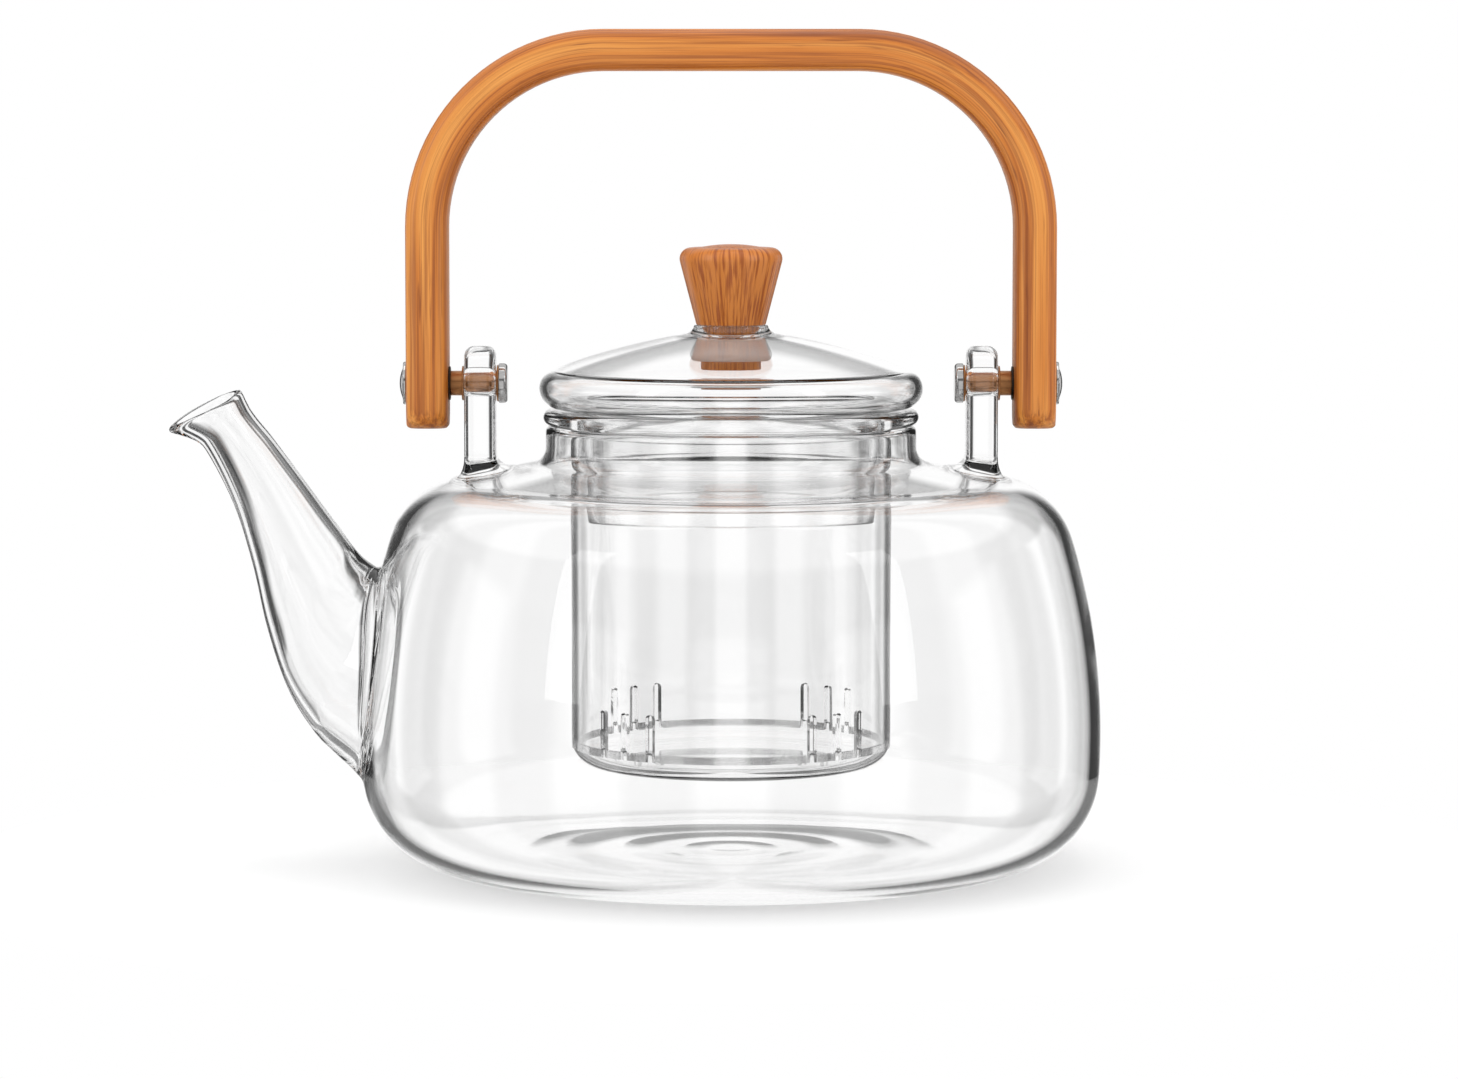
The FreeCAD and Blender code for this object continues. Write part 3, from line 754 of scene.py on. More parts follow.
def spout_ring(sizes, share, thetas, inner):
    """Ring of the spout at a share of its length, on its outer or inner skin."""
    centres = SPOUT_STATIONS[:, :2]
    knots = np.concatenate([[0], np.cumsum(np.linalg.norm(np.diff(centres, axis=0), axis=1))])
    out, height, half_length, half_width, tilt = through(knots, SPOUT_STATIONS, share * knots[-1])
    wall = 0.0
    if inner:
        thick = max(0.0, 1 - share / ROOT_SHARE)
        wall = (sizes.spout_wall + (sizes.weld_wall - sizes.spout_wall) * thick) / MM
    tilt = math.radians(tilt)
    along = np.array([math.cos(tilt), 0, math.sin(tilt)]) * (half_length - wall)
    across = np.array([0, -1, 0]) * (half_width - wall)
    centre = np.array([-(sizes.belly_radius / MM + out), 0, height])
    ring = centre + np.cos(thetas)[:, None] * along + np.sin(thetas)[:, None] * across
    end = max(0.0, (share - LIP_START) / (1 - LIP_START)) ** 2
    front = end * np.maximum(0, -np.cos(thetas)) ** 2
    ring += front[:, None] * np.array([-sizes.lip_reach / MM, 0, -sizes.lip_drop / MM])
    if inner:
        ring += front[:, None] * LIP_THICKENING
    sides = end * np.sin(thetas) ** 2 * (1 - np.cos(thetas))
    ring += sides[:, None] * ARCH_WAY * sizes.lip_arch / MM
    ring[:, 2] -= end * np.sin(thetas) * sizes.lip_lean / MM
    return ring * MM


# Openings for the spout in the outer and the inner skin: height, half height, half width and the
# two pulls of the weld, in mm
SPOUT_OPENINGS = np.array([(42.3, 24.3, 21.6, 4.5, 4.0), (40.6, 19.4, 17.0, 1.6, 2.6)])
# Rows and columns of the vessel's grid, counted from the middle, that a hole takes and that bend
# round it
SPOUT_HOLE = (10, 6)
SPOUT_BLOCK = (14, 10)
LUG_HOLE = (4, 4)
LUG_BLOCK = (7, 7)
# How square an outline is, from 2 for an ellipse
SPOUT_SQUARENESS = 2
FOOT_SQUARENESS = 3
LUG_SQUARENESS = 5
# Pull of a lug's weld as a share of its flare
LUG_PULL = 1.8
# Step along the spout from which its direction is read
SPOUT_STEP = 0.01


def add_spout(grid, sizes):
    """Rings of the spout's outer and inner skins, welded to the vessel's and joined round the mouth."""
    skins = []
    for inner, opening in zip((False, True), SPOUT_OPENINGS * MM):
        height, half_height, half_width, *pulls = opening
        row = grid.row_at(not inner, height, HEIGHT)
        up = -1 if inner else 1
        thetas, spots, points, lean = grid.open(
            row, math.pi, SPOUT_HOLE, SPOUT_BLOCK, up, half_height, half_width, SPOUT_SQUARENESS
        )
        start = spout_ring(sizes, SPOUT_START, thetas, inner)
        rise = spout_ring(sizes, SPOUT_START + SPOUT_STEP, thetas, inner) - start
        rise /= np.linalg.norm(rise, axis=1)[:, None]
        rings = weld(points, lean, start, rise, pulls, 6)
        shares = [*np.linspace(SPOUT_START, LIP_START, 26), *np.linspace(LIP_START, 1, 8)[1:]]
        rings += [spout_ring(sizes, share, thetas, inner) for share in shares]
        skins.append((spots, rings))
    outer_rings, inner_rings = skins[0][1], skins[1][1]
    middle = (outer_rings[-1] + inner_rings[-1]) / 2
    reach = outer_rings[-1] - middle
    out = outer_rings[-1] - outer_rings[-2]
    out = out / np.linalg.norm(out, axis=1)[:, None] * np.linalg.norm(reach, axis=1)[:, None]
    lip = [middle + reach * math.cos(t) + out * math.sin(t) for t in np.linspace(0, math.pi, 7)[1:-1]]
    return skins[0][0], skins[1][0], outer_rings + lip + inner_rings[::-1]


def lug_rings(sizes, side, thetas):
    """Rings of one lug, from above its foot to its rounded top."""
    c, w = np.cos(thetas), np.sin(thetas)
    thick = np.sign(c) * np.abs(c) ** (2 / LUG_SQUARENESS)
    wide = np.sign(w) * np.abs(w) ** (2 / LUG_SQUARENESS)
    top = sizes.pin_height + sizes.lug_above_pin
    foot = sizes.pin_height - sizes.lug_drop + sizes.lug_flare
    bend = top - sizes.lug_top_round
    heights = list(np.linspace(foot, bend, 9)[:-1])
    heights += [bend + sizes.lug_top_round * math.sin(t) for t in np.linspace(0, math.pi / 2, 12)]
    rings = []
    for height in heights:
        over = max(0.0, height - bend) / sizes.lug_top_round
        half_width = sizes.lug_half_width - sizes.lug_top_round * (1 - math.sqrt(max(0.0, 1 - over * over)))
        edge = max(0.0, height - (top - sizes.lug_edge_round)) / sizes.lug_edge_round
        half = sizes.lug_thickness / 2 - sizes.lug_edge_round * (1 - math.sqrt(max(0.0, 1 - edge * edge)))
        x = side * (sizes.lug_reach - half * thick)
        y = side * half_width * wide
        rings.append(np.stack([x, y, np.full(len(thetas), height)], 1))
    return rings, (side * sizes.lug_reach, 0, top)


def smoothed(mesh, cutter):
    """The mesh subdivided once and bored by a cutter object."""
    work = bpy.data.objects.new("work", mesh)
    bpy.context.scene.collection.objects.link(work)
    work.modifiers.new("smooth", "SUBSURF").levels = 1
    bore = work.modifiers.new("bore", "BOOLEAN")
    bore.object = cutter
    bore.solver = "EXACT"
    bpy.context.view_layer.update()
    result = bpy.data.meshes.new_from_object(work.evaluated_get(bpy.context.evaluated_depsgraph_get()))
    bpy.data.objects.remove(work)
    bpy.data.objects.remove(cutter)
    return result


def pin_cutter(sizes):
    """Round bar along the pin axis, which bores both lugs."""
    reach = sizes.lug_reach * 1.5
    profile = np.array([(0, -reach), (sizes.bore_radius, -reach), (sizes.bore_radius, reach), (0, reach)])
    skin = turned(profile, PIN_COLUMNS, False)
    skin.points = [(z, y, x + sizes.pin_height) for x, y, z in skin.points]
    cutter = bpy.data.objects.new("cutter", skin.mesh("cutter"))
    bpy.context.scene.collection.objects.link(cutter)
    return cutter


class TEAPOT_OT_pot(bpy.types.Operator):
    """Blown vessel with its welded spout and lugs, as one body of glass"""

    bl_idname = "teapot.pot"
    bl_label = "Glass pot"

    def execute(self, context):
        sizes = context.scene.teapot_pot
        skin = Skin()
        grid = PotGrid(sizes)
        outer_spots, inner_spots, spout = add_spout(grid, sizes)
        lugs = []
        for side, turn in ((1, 0.0), (-1, math.pi)):
            row = grid.row_at(True, sizes.lug_reach, RADIUS)
            row = max(row, grid.row_at(True, sizes.lug_seat, HEIGHT))
            foot = sizes.lug_thickness / 2 + sizes.lug_flare
            spread = sizes.lug_half_width + sizes.lug_flare
            thetas, spots, points, lean = grid.open(
                row, turn, LUG_HOLE, LUG_BLOCK, 1, foot, spread, FOOT_SQUARENESS
            )
            rings, tip = lug_rings(sizes, side, thetas)
            rise = np.tile((0.0, 0.0, 1.0), (len(thetas), 1))
            pull = LUG_PULL * sizes.lug_flare
            lugs.append((spots, weld(points, lean, rings[0], rise, (pull, pull), 5) + rings, tip))
        rows = skin.add(grid.at(grid.place, grid.turn)[1:-1])
        skin.lace(rows, skip={(i - 1, j) for i, j in grid.cut})
        skin.fan(rows[0], (0, 0, grid.profile[0, 1]))
        skin.fan(rows[-1], (0, 0, grid.profile[-1, 1]))
        first = np.array([rows[i - 1, j] for i, j in outer_spots])
        last = np.array([rows[i - 1, j] for i, j in inner_spots])
        skin.lace([first, *skin.add(np.array(spout)), last])
        for spots, rings, tip in lugs:
            foot_ring = np.array([rows[i - 1, j] for i, j in spots])
            ids = skin.add(np.array(rings))
            skin.lace([foot_ring, *ids])
            skin.fan(ids[-1], tip)
        whole = smoothed(skin.mesh("pot"), pin_cutter(sizes))
        glass = shared("clear_glass", clear_glass, context.scene.teapot_finish)
        nodes = ("glass_vessel", "spout", "lug_left", "lug_right")
        place("pot_glass", whole, glass, "pot", "clear_glass", nodes)
        return {"FINISHED"}


# Infuser and lid

# Turns of the slots in degrees from the middle of the back and of the front
SLOT_SIDES = (90, 270)
SLOT_TURNS = (-52, -41, -30, 30, 41, 52)
SLOT_ROWS = 7


class TEAPOT_OT_infuser(bpy.types.Operator):
    """Glass infuser with a flange on the rim and groups of upright slots"""

    bl_idname = "teapot.infuser"
    bl_label = "Glass infuser"

    def execute(self, context):
        s = context.scene.teapot_cup
        inner_radius = s.infuser_radius - s.infuser_wall
        bottom = s.seat_height - s.infuser_depth
        floor = bottom + s.infuser_floor
        top = s.seat_height + s.flange_thickness
        edge = s.flange_thickness / 2
        bead = s.flange_radius - edge
        low = floor + s.slot_above_floor
        high = low + s.slot_length
        half = s.slot_width / 2
        slot_rows = np.concatenate([[low], np.linspace(low + half, high - half, SLOT_ROWS), [high]])
        outside = rounded(
            [(0, bottom), (s.infuser_radius, bottom), (s.infuser_radius, low)], [s.infuser_corner]
        )
        outside_wall = rounded(
            [(s.infuser_radius, high), (s.infuser_radius, s.seat_height), (bead, s.seat_height)],
            [s.flange_fillet],
        )
        inside_wall = rounded(
            [(bead, top), (inner_radius, top), (inner_radius, high)], [s.mouth_round]
        )
        inside = rounded(
            [(inner_radius, low), (inner_radius, floor), (0, floor)], [s.infuser_corner - s.infuser_wall]
        )
        outer_slot = np.stack([np.full(SLOT_ROWS + 2, s.infuser_radius), slot_rows], 1)
        inner_slot = np.stack([np.full(SLOT_ROWS + 2, inner_radius), slot_rows[::-1]], 1)
        profile = stroke(
            outside, outer_slot, outside_wall, arc((bead, s.seat_height + edge), edge, -90, 90, 14),
            inside_wall, inner_slot, inside,
        )
        self.build(context, s, profile, low, high, half)
        return {"FINISHED"}

    def build(self, context, s, profile, low, high, half):
        """Turns the half section, cuts the slots and makes the piece."""
        points = spun(profile, CUP_COLUMNS)
        radius, height = profile[:, 0], profile[:, 1]
        beside = (height > low - TINY) & (height < high + TINY)
        outer_rows = np.flatnonzero(beside & (abs(radius - s.infuser_radius) < TINY))
        inner_rows = np.flatnonzero(beside & (abs(radius - s.infuser_radius + s.infuser_wall) < TINY))[::-1]
        skip = set()
        loops = []
        for facing in SLOT_SIDES:
            for turn in SLOT_TURNS:
                column = (facing + turn) % CUP_COLUMNS
                loops.append([
                    self.slot_edge(points, rows, column, half, skip) for rows in (outer_rows, inner_rows)
                ])
        skin = Skin()
        ids = skin.add(points[1:-1])
        skin.lace(ids, skip={(i - 1, j) for i, j in skip})
        skin.fan(ids[0], (0, 0, profile[0, 1]))
        skin.fan(ids[-1], (0, 0, profile[-1, 1]))
        for outer, inner in loops:
            skin.lace([
                np.array([ids[i - 1, j] for i, j in outer]), np.array([ids[i - 1, j] for i, j in inner]),
            ])
        glass = shared("clear_glass", clear_glass, context.scene.teapot_finish)
        skin.piece("infuser_glass", glass, "infuser", "clear_glass", ["infuser"])

    def slot_edge(self, points, rows, column, half, skip):
        """Shapes one slot's edge in the grid of points and gives it as a loop of grid places."""
        radius = float(np.linalg.norm(points[rows[0], column, :2]))
        middle = 2 * math.pi * column / CUP_COLUMNS
        corner = half * math.sqrt(0.5)
        left, right = (column - 1) % CUP_COLUMNS, (column + 1) % CUP_COLUMNS
        for row in rows:
            end = row in (rows[0], rows[-1])
            shift = math.asin((corner if end else half) / radius)
            for place_column, sign in ((left, -1), (right, 1)):
                turn = middle + sign * shift
                points[row, place_column, :2] = radius * math.cos(turn), radius * math.sin(turn)
        for row, sign in ((rows[0], 1), (rows[-1], -1)):
            for place_column in (left, right):
                points[row, place_column, 2] += sign * (half - corner)
        for row in range(min(rows), max(rows)):
            skip.add((row, left))
            skip.add((row, column))
        bottom, top = rows[0], rows[-1]
        loop = [(bottom, column)] + [(row, right) for row in rows]
        return loop + [(top, column)] + [(row, left) for row in rows[::-1]]


def lid_section(s):
    """Centres and heights of the lid's half section."""
    underside = s.seat_height + s.flange_thickness + s.lid_gap
    roll = np.array([s.lid_radius - s.lid_roll, underside + s.lid_roll])
    dome = polar(roll, s.dome_radius - s.lid_roll, 180 + math.degrees(s.dome_angle))
    turn_x = s.collar_radius + s.collar_fillet
    turn_z = dome[1] + math.sqrt((s.dome_radius + s.collar_fillet) ** 2 - (turn_x - dome[0]) ** 2)
    seat = dome[1] + math.sqrt((s.dome_radius - s.lid_wall) ** 2 - (s.plug_seat_radius - dome[0]) ** 2)
    collar_top = turn_z + s.collar_height - s.collar_fillet / 2
    return underside, roll, dome, np.array([turn_x, turn_z]), seat, collar_top


class TEAPOT_OT_lid(bpy.types.Operator):
    """Domed glass lid with a rolled edge, a skirt and a collar for the knob"""

    bl_idname = "teapot.lid"
    bl_label = "Glass lid"

    def execute(self, context):
        s = context.scene.teapot_cup
        underside, roll, dome, turn, seat, collar_top = lid_section(s)
        edge_angle = math.degrees(s.dome_angle)
        top_angle = math.degrees(math.atan2(turn[1] - dome[1], turn[0] - dome[0]))
        seat_angle = math.degrees(math.atan2(seat - dome[1], s.plug_seat_radius - dome[0]))
        tip = s.skirt_wall / 2
        skirt_low = underside - s.skirt_length
        plate = underside + s.lid_wall
        bevel = s.collar_bevel
        brow = math.asin((turn[1] - collar_top + bevel) / s.collar_fillet)
        collar_edge = turn[0] - s.collar_fillet * math.cos(brow)
        profile = stroke(
            arc((collar_edge - bevel, collar_top - bevel), bevel, 90, 0, 5),
            arc(turn, s.collar_fillet, 180 + math.degrees(brow), 180 + top_angle, 10),
            arc(dome, s.dome_radius, top_angle, edge_angle, 20),
            arc(roll, s.lid_roll, edge_angle, -90, 24),
            rounded([(roll[0], underside), (s.skirt_top, underside), (s.skirt_bottom, skirt_low + tip)],
                    [s.skirt_fillet]),
            arc((s.skirt_bottom - tip, skirt_low + tip), tip, 0, -180, 10),
            rounded([(s.skirt_bottom - s.skirt_wall, skirt_low + tip), (s.skirt_top - s.skirt_wall, plate),
                     (roll[0], plate)], [s.skirt_fillet]),
            arc(roll, s.lid_roll - s.lid_wall, -90, edge_angle, 18),
            arc(dome, s.dome_radius - s.lid_wall, edge_angle, seat_angle, 20),
            straight((s.plug_seat_radius, seat), (s.collar_bore, seat), 3),
            straight((s.collar_bore, seat), (s.collar_bore, collar_top - bevel), 4),
            arc((s.collar_bore + bevel, collar_top - bevel), bevel, 180, 90, 5),
        )
        glass = shared("clear_glass", clear_glass, context.scene.teapot_finish)
        turned(profile, LID_COLUMNS, True).piece("lid_glass", glass, "lid", "clear_glass", ["lid"])
        return {"FINISHED"}


class TEAPOT_OT_knob(bpy.types.Operator):
    """Tapered wooden knob with its stem, and the frosted plug that holds it in the lid"""

    bl_idname = "teapot.knob"
    bl_label = "Knob and plug"

    def execute(self, context):
        s = context.scene.teapot_wood
        finish = context.scene.teapot_finish
        low, high = (corner.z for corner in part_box("knob"))
        collar_top = lid_section(context.scene.teapot_cup)[-1]
        edge = high - s.knob_crown
        inner = s.knob_top - 2 * s.knob_round
        crown = (inner ** 2 + s.knob_crown ** 2) / (2 * s.knob_crown)
        rim = math.degrees(math.acos(inner / crown))
        bevel = s.knob_bevel
        shoulder = (s.stem_radius, collar_top)
        profile = stroke(
            rounded([(0, low), (s.stem_radius, low), shoulder], [bevel], 4),
            rounded([shoulder, (s.knob_bottom, collar_top), (s.knob_top, edge), (inner, edge)],
                    [bevel, s.knob_round], 10, 1 * MM),
            arc((0, high - crown), crown, rim, 90, 10),
        )
        wood = shared("knob_wood", knob_wood, finish)
        knob = turned(profile, KNOB_COLUMNS, False).piece("knob_wooden", wood, "lid", "knob_wood", ["knob"])
        points = np.array([vertex.co for vertex in knob.data.vertices])
        reach = np.maximum(np.linalg.norm(points[:, :2], axis=1), inner)
        points[:, :2] *= (s.knob_bottom / reach)[:, None]
        carry_grain(knob, points)
        plug_low, plug_high = (corner.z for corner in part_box("knob_plug"))
        outline = rounded(
            [(s.stem_radius, plug_high), (s.plug_neck, plug_high), (s.plug_flare, plug_low),
             (s.stem_radius, plug_low)],
            [s.plug_round / 4, s.plug_round], 8, 0.8 * MM,
        )
        soft = shared("silicone", silicone, finish)
        turned(outline, KNOB_COLUMNS, True).piece("plug_frosted", soft, "lid", "silicone", ["knob_plug"])
        return {"FINISHED"}


# Handle

def strip_section(half_thick, half_deep, radius, steps=5):
    """Rounded rectangle about the strip's line, as pairs across its thickness and its depth."""
    radius = min(radius, half_thick, half_deep)
    points = []
    for corner, start in (((1, 1), 0), ((-1, 1), 90), ((-1, -1), 180), ((1, -1), 270)):
        centre = (corner[0] * (half_thick - radius), corner[1] * (half_deep - radius))
        points.append(arc(centre, radius, start, start + 90, steps))
    return np.concatenate(points)


# Places along each bend and the grip, and along the straight of a leg
BEND_PLACES = 25
LEG_PLACES = 16


class TEAPOT_OT_bail(bpy.types.Operator):
    """Bamboo strip bent into two legs and a grip"""

    bl_idname = "teapot.bail"
    bl_label = "Bamboo handle"

    def execute(self, context):
        s = context.scene.teapot_wood
        low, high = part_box("bail_handle")
        half = s.bail_thickness / 2
        reach = high.x - half
        bend = s.bail_corner + half
        leg_top = high.z - half - bend
        heights = set(np.linspace(low.z + s.leg_round, leg_top, LEG_PLACES))
        for radius, places in ((s.leg_round, 9), (s.leg_edge, 6)):
            heights.update(low.z + radius * (1 - math.cos(t)) for t in np.linspace(0, math.pi / 2, places))
        heights = sorted(heights)
        left, right = (-reach + bend, leg_top), (reach - bend, leg_top)
        line = [((-reach, z), 90.0) for z in heights]
        line += [(polar(left, bend, a), a - 90) for a in np.linspace(180, 90, BEND_PLACES)[1:]]
        line += [((x, high.z - half), 0.0) for x in np.linspace(left[0], right[0], BEND_PLACES)[1:]]
        line += [(polar(right, bend, a), a - 90) for a in np.linspace(90, 0, BEND_PLACES)[1:]]
        line += [((reach, z), -90.0) for z in heights[::-1][1:]]
        rings, grains = [], []
        passed = 0.0
        before = np.array(line[0][0])
        for (x, z), heading in line:
            passed += float(np.linalg.norm(np.array([x, z]) - before))
            before = np.array([x, z])
            section = self.section(s, z - low.z)
            turn = math.radians(heading + 90)
            rings.append([(x + a * math.cos(turn), b, z + a * math.sin(turn)) for a, b in section])
            grains.append([(a, b, passed) for a, b in section])
        skin = Skin()
        ids = skin.add(np.array(rings))
        skin.lace(ids)
        grain = [spot for ring in grains for spot in ring]
        for ring, spot, along in ((ids[0], line[0][0], 0.0), (ids[-1], line[-1][0], passed)):
            skin.fan(ring, (spot[0], 0, spot[1]))
            grain.append((0.0, 0.0, along))
        wood = shared("bamboo", bamboo, context.scene.teapot_finish)
        piece = skin.piece("bail_bamboo", wood, "handle", "bamboo", ["bail_handle"])
        carry_grain(piece, grain)
        return {"FINISHED"}

    def section(self, s, rise):
        """Section of the strip at a height above the legs' ends, drawn in at the rounded ends."""
        def drawn(radius):
            """How far a rounded corner draws the section in."""
            short = max(0.0, radius - rise)
            return radius - math.sqrt(max(0.0, radius * radius - short * short))
        edge = drawn(s.leg_edge)
        return strip_section(
            s.bail_thickness / 2 - edge, s.bail_depth / 2 - max(edge, drawn(s.leg_round)), s.bail_edge_round
        )


def along_pin(skin, side, height):
    """Lays a skin that was turned about Z along the pin axis, outwards on one side."""
    skin.points = [(side * z, x, y + height) for x, y, z in skin.points]
    return skin


class TEAPOT_OT_pivots(bpy.types.Operator):
    """Metal pins, tubes and washers on which the handle swings"""

    bl_idname = "teapot.pivots"
    bl_label = "Pivots"

    def execute(self, context):
        finish = context.scene.teapot_finish
        sizes = context.scene.teapot_pin
        pin = context.scene.teapot_pot.pin_height
        steel, bronze, dark = (
            shared(name, metal, name, shade, roughness) for name, shade, roughness in (
                ("polished_steel", finish.steel, finish.steel_roughness),
                ("copper_tone", finish.bronze, finish.bronze_roughness),
                ("dark_washer", finish.dark_washer, finish.washer_roughness),
            )
        )
        for name, side in SIDES.items():
            self.heads(sizes, name, side, pin, steel)
            for node, material, slot in (
                ("spacer_tube_", bronze, "copper_tone"),
                ("lug_washer_inner_", bronze, "copper_tone"),
                ("lug_washer_outer_", bronze, "copper_tone"),
                ("leg_washer_", dark, "dark_washer"),
            ):
                self.ring(sizes, node + name, side, pin, material, slot)
        return {"FINISHED"}

    def extent(self, node, side):
        """Start, end and radius of a CAD node along the pin, counted outwards."""
        low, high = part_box(node)
        ends = sorted((side * low.x, side * high.x))
        return ends[0], ends[1], (high.z - low.z) / 2

    def ring(self, sizes, node, side, pin, material, slot):
        """A tube or washer with softened edges."""
        start, end, radius = self.extent(node, side)
        bore = sizes.washer_bore if node.startswith("lug_washer") else sizes.tube_bore
        bevel = min(sizes.ring_edge, (end - start) / 3)
        corners = [(bore, (start + end) / 2), (bore, end), (radius, end), (radius, start), (bore, start),
                   (bore, (start + end) / 2)]
        skin = turned(rounded(corners, [bevel] * 4, 4)[:-1], PIN_COLUMNS, True)
        along_pin(skin, side, pin).piece(node + "_ring", material, "handle", slot, [node])

    def heads(self, sizes, name, side, pin, steel):
        """The headed sleeve inside the lug and the domed screw outside the leg."""
        node = "pivot_barrel_" + name
        start, end, radius = self.extent(node, side)
        face = start + sizes.head_thickness
        sleeve = sizes.sleeve_radius
        profile = rounded(
            [(0, start), (radius, start), (radius, face), (sleeve, face), (sleeve, end), (0, end)],
            [sizes.head_round, sizes.head_edge, sizes.sleeve_fillet, sizes.sleeve_edge], 8, 1.2 * MM,
        )
        skin = turned(profile, PIN_COLUMNS, False)
        along_pin(skin, side, pin).piece(node + "_steel", steel, "handle", "polished_steel", [node])
        node = "pivot_screw_" + name
        end, radius = self.extent(node, side)[1:]
        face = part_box("bail_handle")[1].x
        rise = end - face
        lip = sizes.screw_edge
        shank = sizes.shank_radius
        dome = ((radius - lip) ** 2 + (rise - lip) ** 2) / (2 * (rise - lip))
        rim = math.degrees(math.asin((dome - rise + lip) / dome))
        profile = stroke(
            np.array([(0, face - sizes.shank_length), (shank, face - sizes.shank_length)]),
            rounded([(shank, face), (radius, face), (radius, face + 2 * lip)], [sizes.screw_back], 5)[:-1],
            arc((radius - lip, face + lip), lip, 0, 45, 4),
            arc((0, end - dome), dome, rim + 2, 90, 14),
        )
        skin = turned(profile, PIN_COLUMNS, False)
        along_pin(skin, side, pin).piece(node + "_steel", steel, "handle", "polished_steel", [node])


# Stage

SENSOR_WIDTH = 36.0
# Places and sizes of the lamps in metres
SIDE_LAMP_PLACE = (0.95, -0.75, 0.55)
SIDE_LAMP_SIZE = (0.28, 0.9)
TOP_LAMP_PLACE = (0.0, 0.1, 1.3)
TOP_LAMP_SIZE = (0.9, 0.6)


def add_lamp(name, spot, aim, size, power):
    """Soft lamp that faces a point and isn't seen through glass."""
    data = bpy.data.lights.new(name, "AREA")
    data.shape = "RECTANGLE"
    data.size, data.size_y = size
    data.energy = power
    lamp = bpy.data.objects.new(name, data)
    lamp.visible_transmission = False
    lamp.location = spot
    lamp.rotation_euler = (Vector(aim) - Vector(spot)).to_track_quat("-Z", "Y").to_euler()
    bpy.context.scene.collection.objects.link(lamp)


def math_node(nodes, links, operation, first, second=None):
    """Result of an operation on sockets or numbers."""
    node = nodes.new("ShaderNodeMath")
    node.operation = operation
    for socket, value in zip(node.inputs, (first, second)):
        if value is None:
            continue
        if isinstance(value, (int, float)):
            socket.default_value = value
        else:
            links.new(value, socket)
    return node.outputs[0]


# Number of dark strips round the studio, and the places on their wave, which runs from 0 to 1, where
# the dark ends, the grey lies and the white starts
STUDIO_STRIPS = 8
STRIP_STOPS = (0.28, 0.46, 0.61)
STRIP_GREY = 0.45
# Sines of the heights above the horizon where the strips end, the dark ring starts and ends, and the
# white ceiling starts
HEIGHT_STOPS = (0.26, 0.30, 0.45, 0.52)


def studio_world(stage):
    """White studio with dark upright strips and a dark ring, which glass edges pick up."""
    world = bpy.data.worlds.new("studio")
    world.use_nodes = True
    nodes, links = world.node_tree.nodes, world.node_tree.links
    background = next(node for node in nodes if node.type == "BACKGROUND")
    coordinates = nodes.new("ShaderNodeTexCoord")
    split = nodes.new("ShaderNodeSeparateXYZ")
    links.new(coordinates.outputs["Generated"], split.inputs[0])
    azimuth = math_node(nodes, links, "ARCTAN2", split.outputs["Y"], split.outputs["X"])
    wave = math_node(nodes, links, "COSINE", math_node(nodes, links, "MULTIPLY", azimuth, STUDIO_STRIPS))
    share = span(nodes, links, wave, low=0.0, high=1.0, start=-1.0)
    dark = toned(WHITE, stage.strip_darkness)
    dim = toned(WHITE, stage.ring_darkness)
    dark_end, grey, white_start = STRIP_STOPS
    strips = ramp(nodes, links, share, [
        (dark_end, dark), (grey, toned(WHITE, STRIP_GREY)), (white_start, WHITE),
    ])
    height = split.outputs["Z"]
    strips_end, ring_start, ring_end, ceiling_start = HEIGHT_STOPS
    ceiling = ramp(nodes, links, height, [(ring_end, dim), (ceiling_start, WHITE)])
    above = ramp(nodes, links, height, [(strips_end, toned(WHITE, 0)), (ring_start, WHITE)])
    sky = mix(nodes, links, above, strips, ceiling)
    plain = nodes.new("ShaderNodeRGB")
    plain.outputs[0].default_value = (*WHITE, 1)
    links.new(mix(nodes, links, in_glass(nodes, links), plain.outputs[0], sky), background.inputs["Color"])
    bpy.context.scene.world = world


def in_glass(nodes, links):
    """1 for what the eye sees in glass or metal, and 0 for light that falls on a matt surface."""
    path = nodes.new("ShaderNodeLightPath")
    glossy, through_glass = path.outputs["Is Glossy Ray"], path.outputs["Is Transmission Ray"]
    seen = math_node(nodes, links, "MAXIMUM", glossy, through_glass)
    direct = math_node(nodes, links, "LESS_THAN", path.outputs["Diffuse Depth"], 0.5)
    return math_node(nodes, links, "MULTIPLY", seen, direct)


def floor_paper(stage):
    """Matt paper lifted to white, which clears away behind glass so that glass keeps its dark edges."""
    material, nodes, links, shader = new_material("floor_paper")
    fibre = noise(nodes, links, place_vector(nodes), scale=400.0, detail=4.0)
    tint = ramp(nodes, links, fibre, [(0.3, toned(WHITE, 0.54)), (0.7, toned(WHITE, 0.56))])
    links.new(tint, shader.inputs["Base Color"])
    shader.inputs["Roughness"].default_value = 1.0
    shader.inputs["Specular IOR Level"].default_value = 0.0
    shader.inputs["Emission Color"].default_value = (*WHITE, 1)
    shader.inputs["Emission Strength"].default_value = stage.floor_lift
    clear = nodes.new("ShaderNodeBsdfTransparent")
    blend = nodes.new("ShaderNodeMixShader")
    links.new(math_node(nodes, links, "MULTIPLY", in_glass(nodes, links), stage.floor_fade), blend.inputs[0])
    links.new(shader.outputs[0], blend.inputs[1])
    links.new(clear.outputs[0], blend.inputs[2])
    output = next(node for node in nodes if node.type == "OUTPUT_MATERIAL")
    links.new(blend.outputs[0], output.inputs["Surface"])
    return material


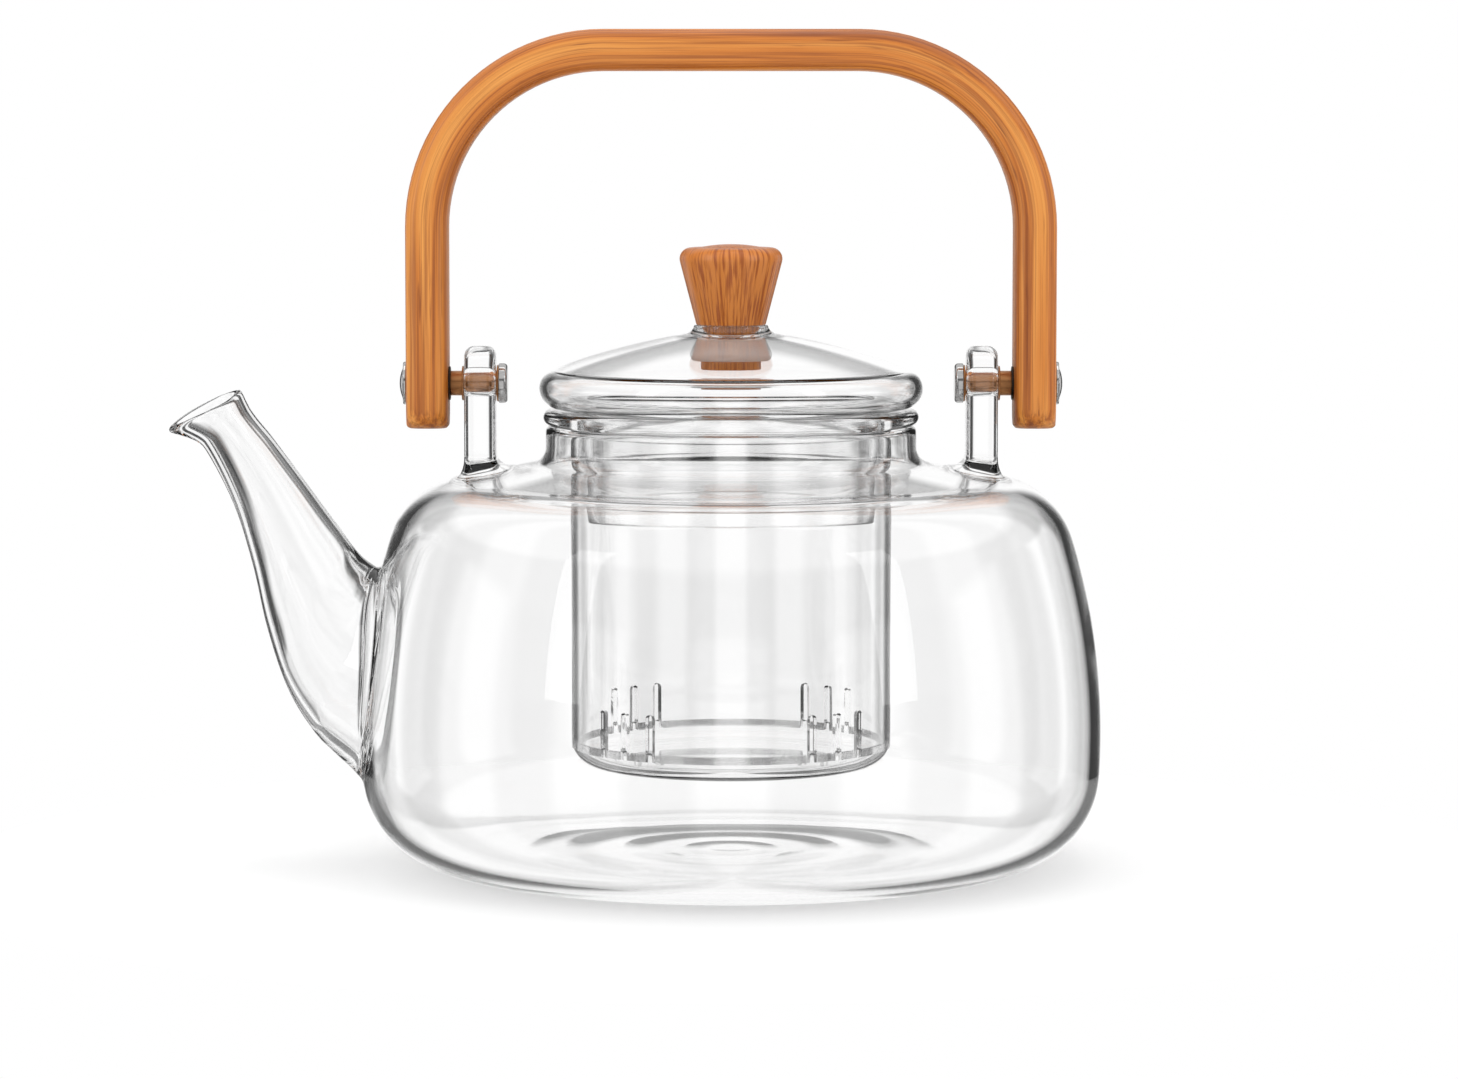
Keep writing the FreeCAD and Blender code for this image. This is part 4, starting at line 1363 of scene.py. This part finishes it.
class TEAPOT_OT_stage(bpy.types.Operator):
    """Pale floor, soft lamps and the camera"""

    bl_idname = "teapot.stage"
    bl_label = "Stage"

    def execute(self, context):
        stage = context.scene.teapot_stage
        mesh = bpy.data.meshes.new("floor")
        rim = spun(np.array([(stage.floor_radius, 0.0)]), FLOOR_COLUMNS)[0]
        mesh.from_pydata(rim.tolist(), [], [tuple(range(FLOOR_COLUMNS))])
        mesh.materials.append(floor_paper(stage))
        floor = bpy.data.objects.new("floor", mesh)
        floor.location.z = -stage.floor_gap
        context.scene.collection.objects.link(floor)
        studio_world(stage)
        aim = tuple(stage.camera_aim)
        for side in (-1, 1):
            spot = (side * SIDE_LAMP_PLACE[0], *SIDE_LAMP_PLACE[1:])
            add_lamp(f"side_{side}", spot, aim, SIDE_LAMP_SIZE, stage.side_lamp_power)
        add_lamp("top", TOP_LAMP_PLACE, aim, TOP_LAMP_SIZE, stage.top_lamp_power)
        camera = bpy.data.objects.new("camera", bpy.data.cameras.new("camera"))
        camera.data.lens = stage.camera_lens
        camera.data.sensor_width = SENSOR_WIDTH
        back = Vector((0, -math.cos(stage.camera_elevation), math.sin(stage.camera_elevation)))
        camera.location = Vector(aim) + back * stage.camera_distance
        camera.rotation_euler = (-back).to_track_quat("-Z", "Y").to_euler()
        context.scene.collection.objects.link(camera)
        context.scene.camera = camera
        context.scene.view_settings.view_transform = "Standard"
        context.scene.cycles.max_bounces = 32
        context.scene.cycles.transmission_bounces = 32
        context.scene.cycles.glossy_bounces = 12
        return {"FINISHED"}


class TEAPOT_PT_panel(bpy.types.Panel):
    """Lists the teapot's pieces"""

    bl_label = "Teapot"
    bl_idname = "TEAPOT_PT_panel"
    bl_space_type = "VIEW_3D"
    bl_region_type = "UI"
    bl_category = "Teapot"

    def draw(self, context):
        """One button for each piece or group of pieces, and one for the stage."""
        for operator in OPERATORS:
            self.layout.operator(operator.bl_idname)


OPERATORS = (
    TEAPOT_OT_stage, TEAPOT_OT_pot, TEAPOT_OT_infuser, TEAPOT_OT_lid, TEAPOT_OT_knob, TEAPOT_OT_bail,
    TEAPOT_OT_pivots,
)
GROUPS = {
    "teapot_pot": PotSizes, "teapot_cup": CupSizes, "teapot_wood": WoodSizes, "teapot_pin": PinSizes,
    "teapot_finish": Finish, "teapot_stage": Stage,
}


def register():
    """Adds the sizes, the operators and the panel to Blender."""
    for name, group in GROUPS.items():
        bpy.utils.register_class(group)
        setattr(bpy.types.Scene, name, bpy.props.PointerProperty(type=group))
    for operator in OPERATORS:
        bpy.utils.register_class(operator)
    bpy.utils.register_class(TEAPOT_PT_panel)


def unregister():
    """Takes the panel, the operators and the sizes out again."""
    bpy.utils.unregister_class(TEAPOT_PT_panel)
    for operator in reversed(OPERATORS):
        bpy.utils.unregister_class(operator)
    for name, group in GROUPS.items():
        delattr(bpy.types.Scene, name)
        bpy.utils.unregister_class(group)


def main():
    """Builds the stage and all pieces."""
    register()
    for operator in OPERATORS:
        family, action = operator.bl_idname.split(".")
        getattr(getattr(bpy.ops, family), action)()


if __name__ == "__main__":
    main()
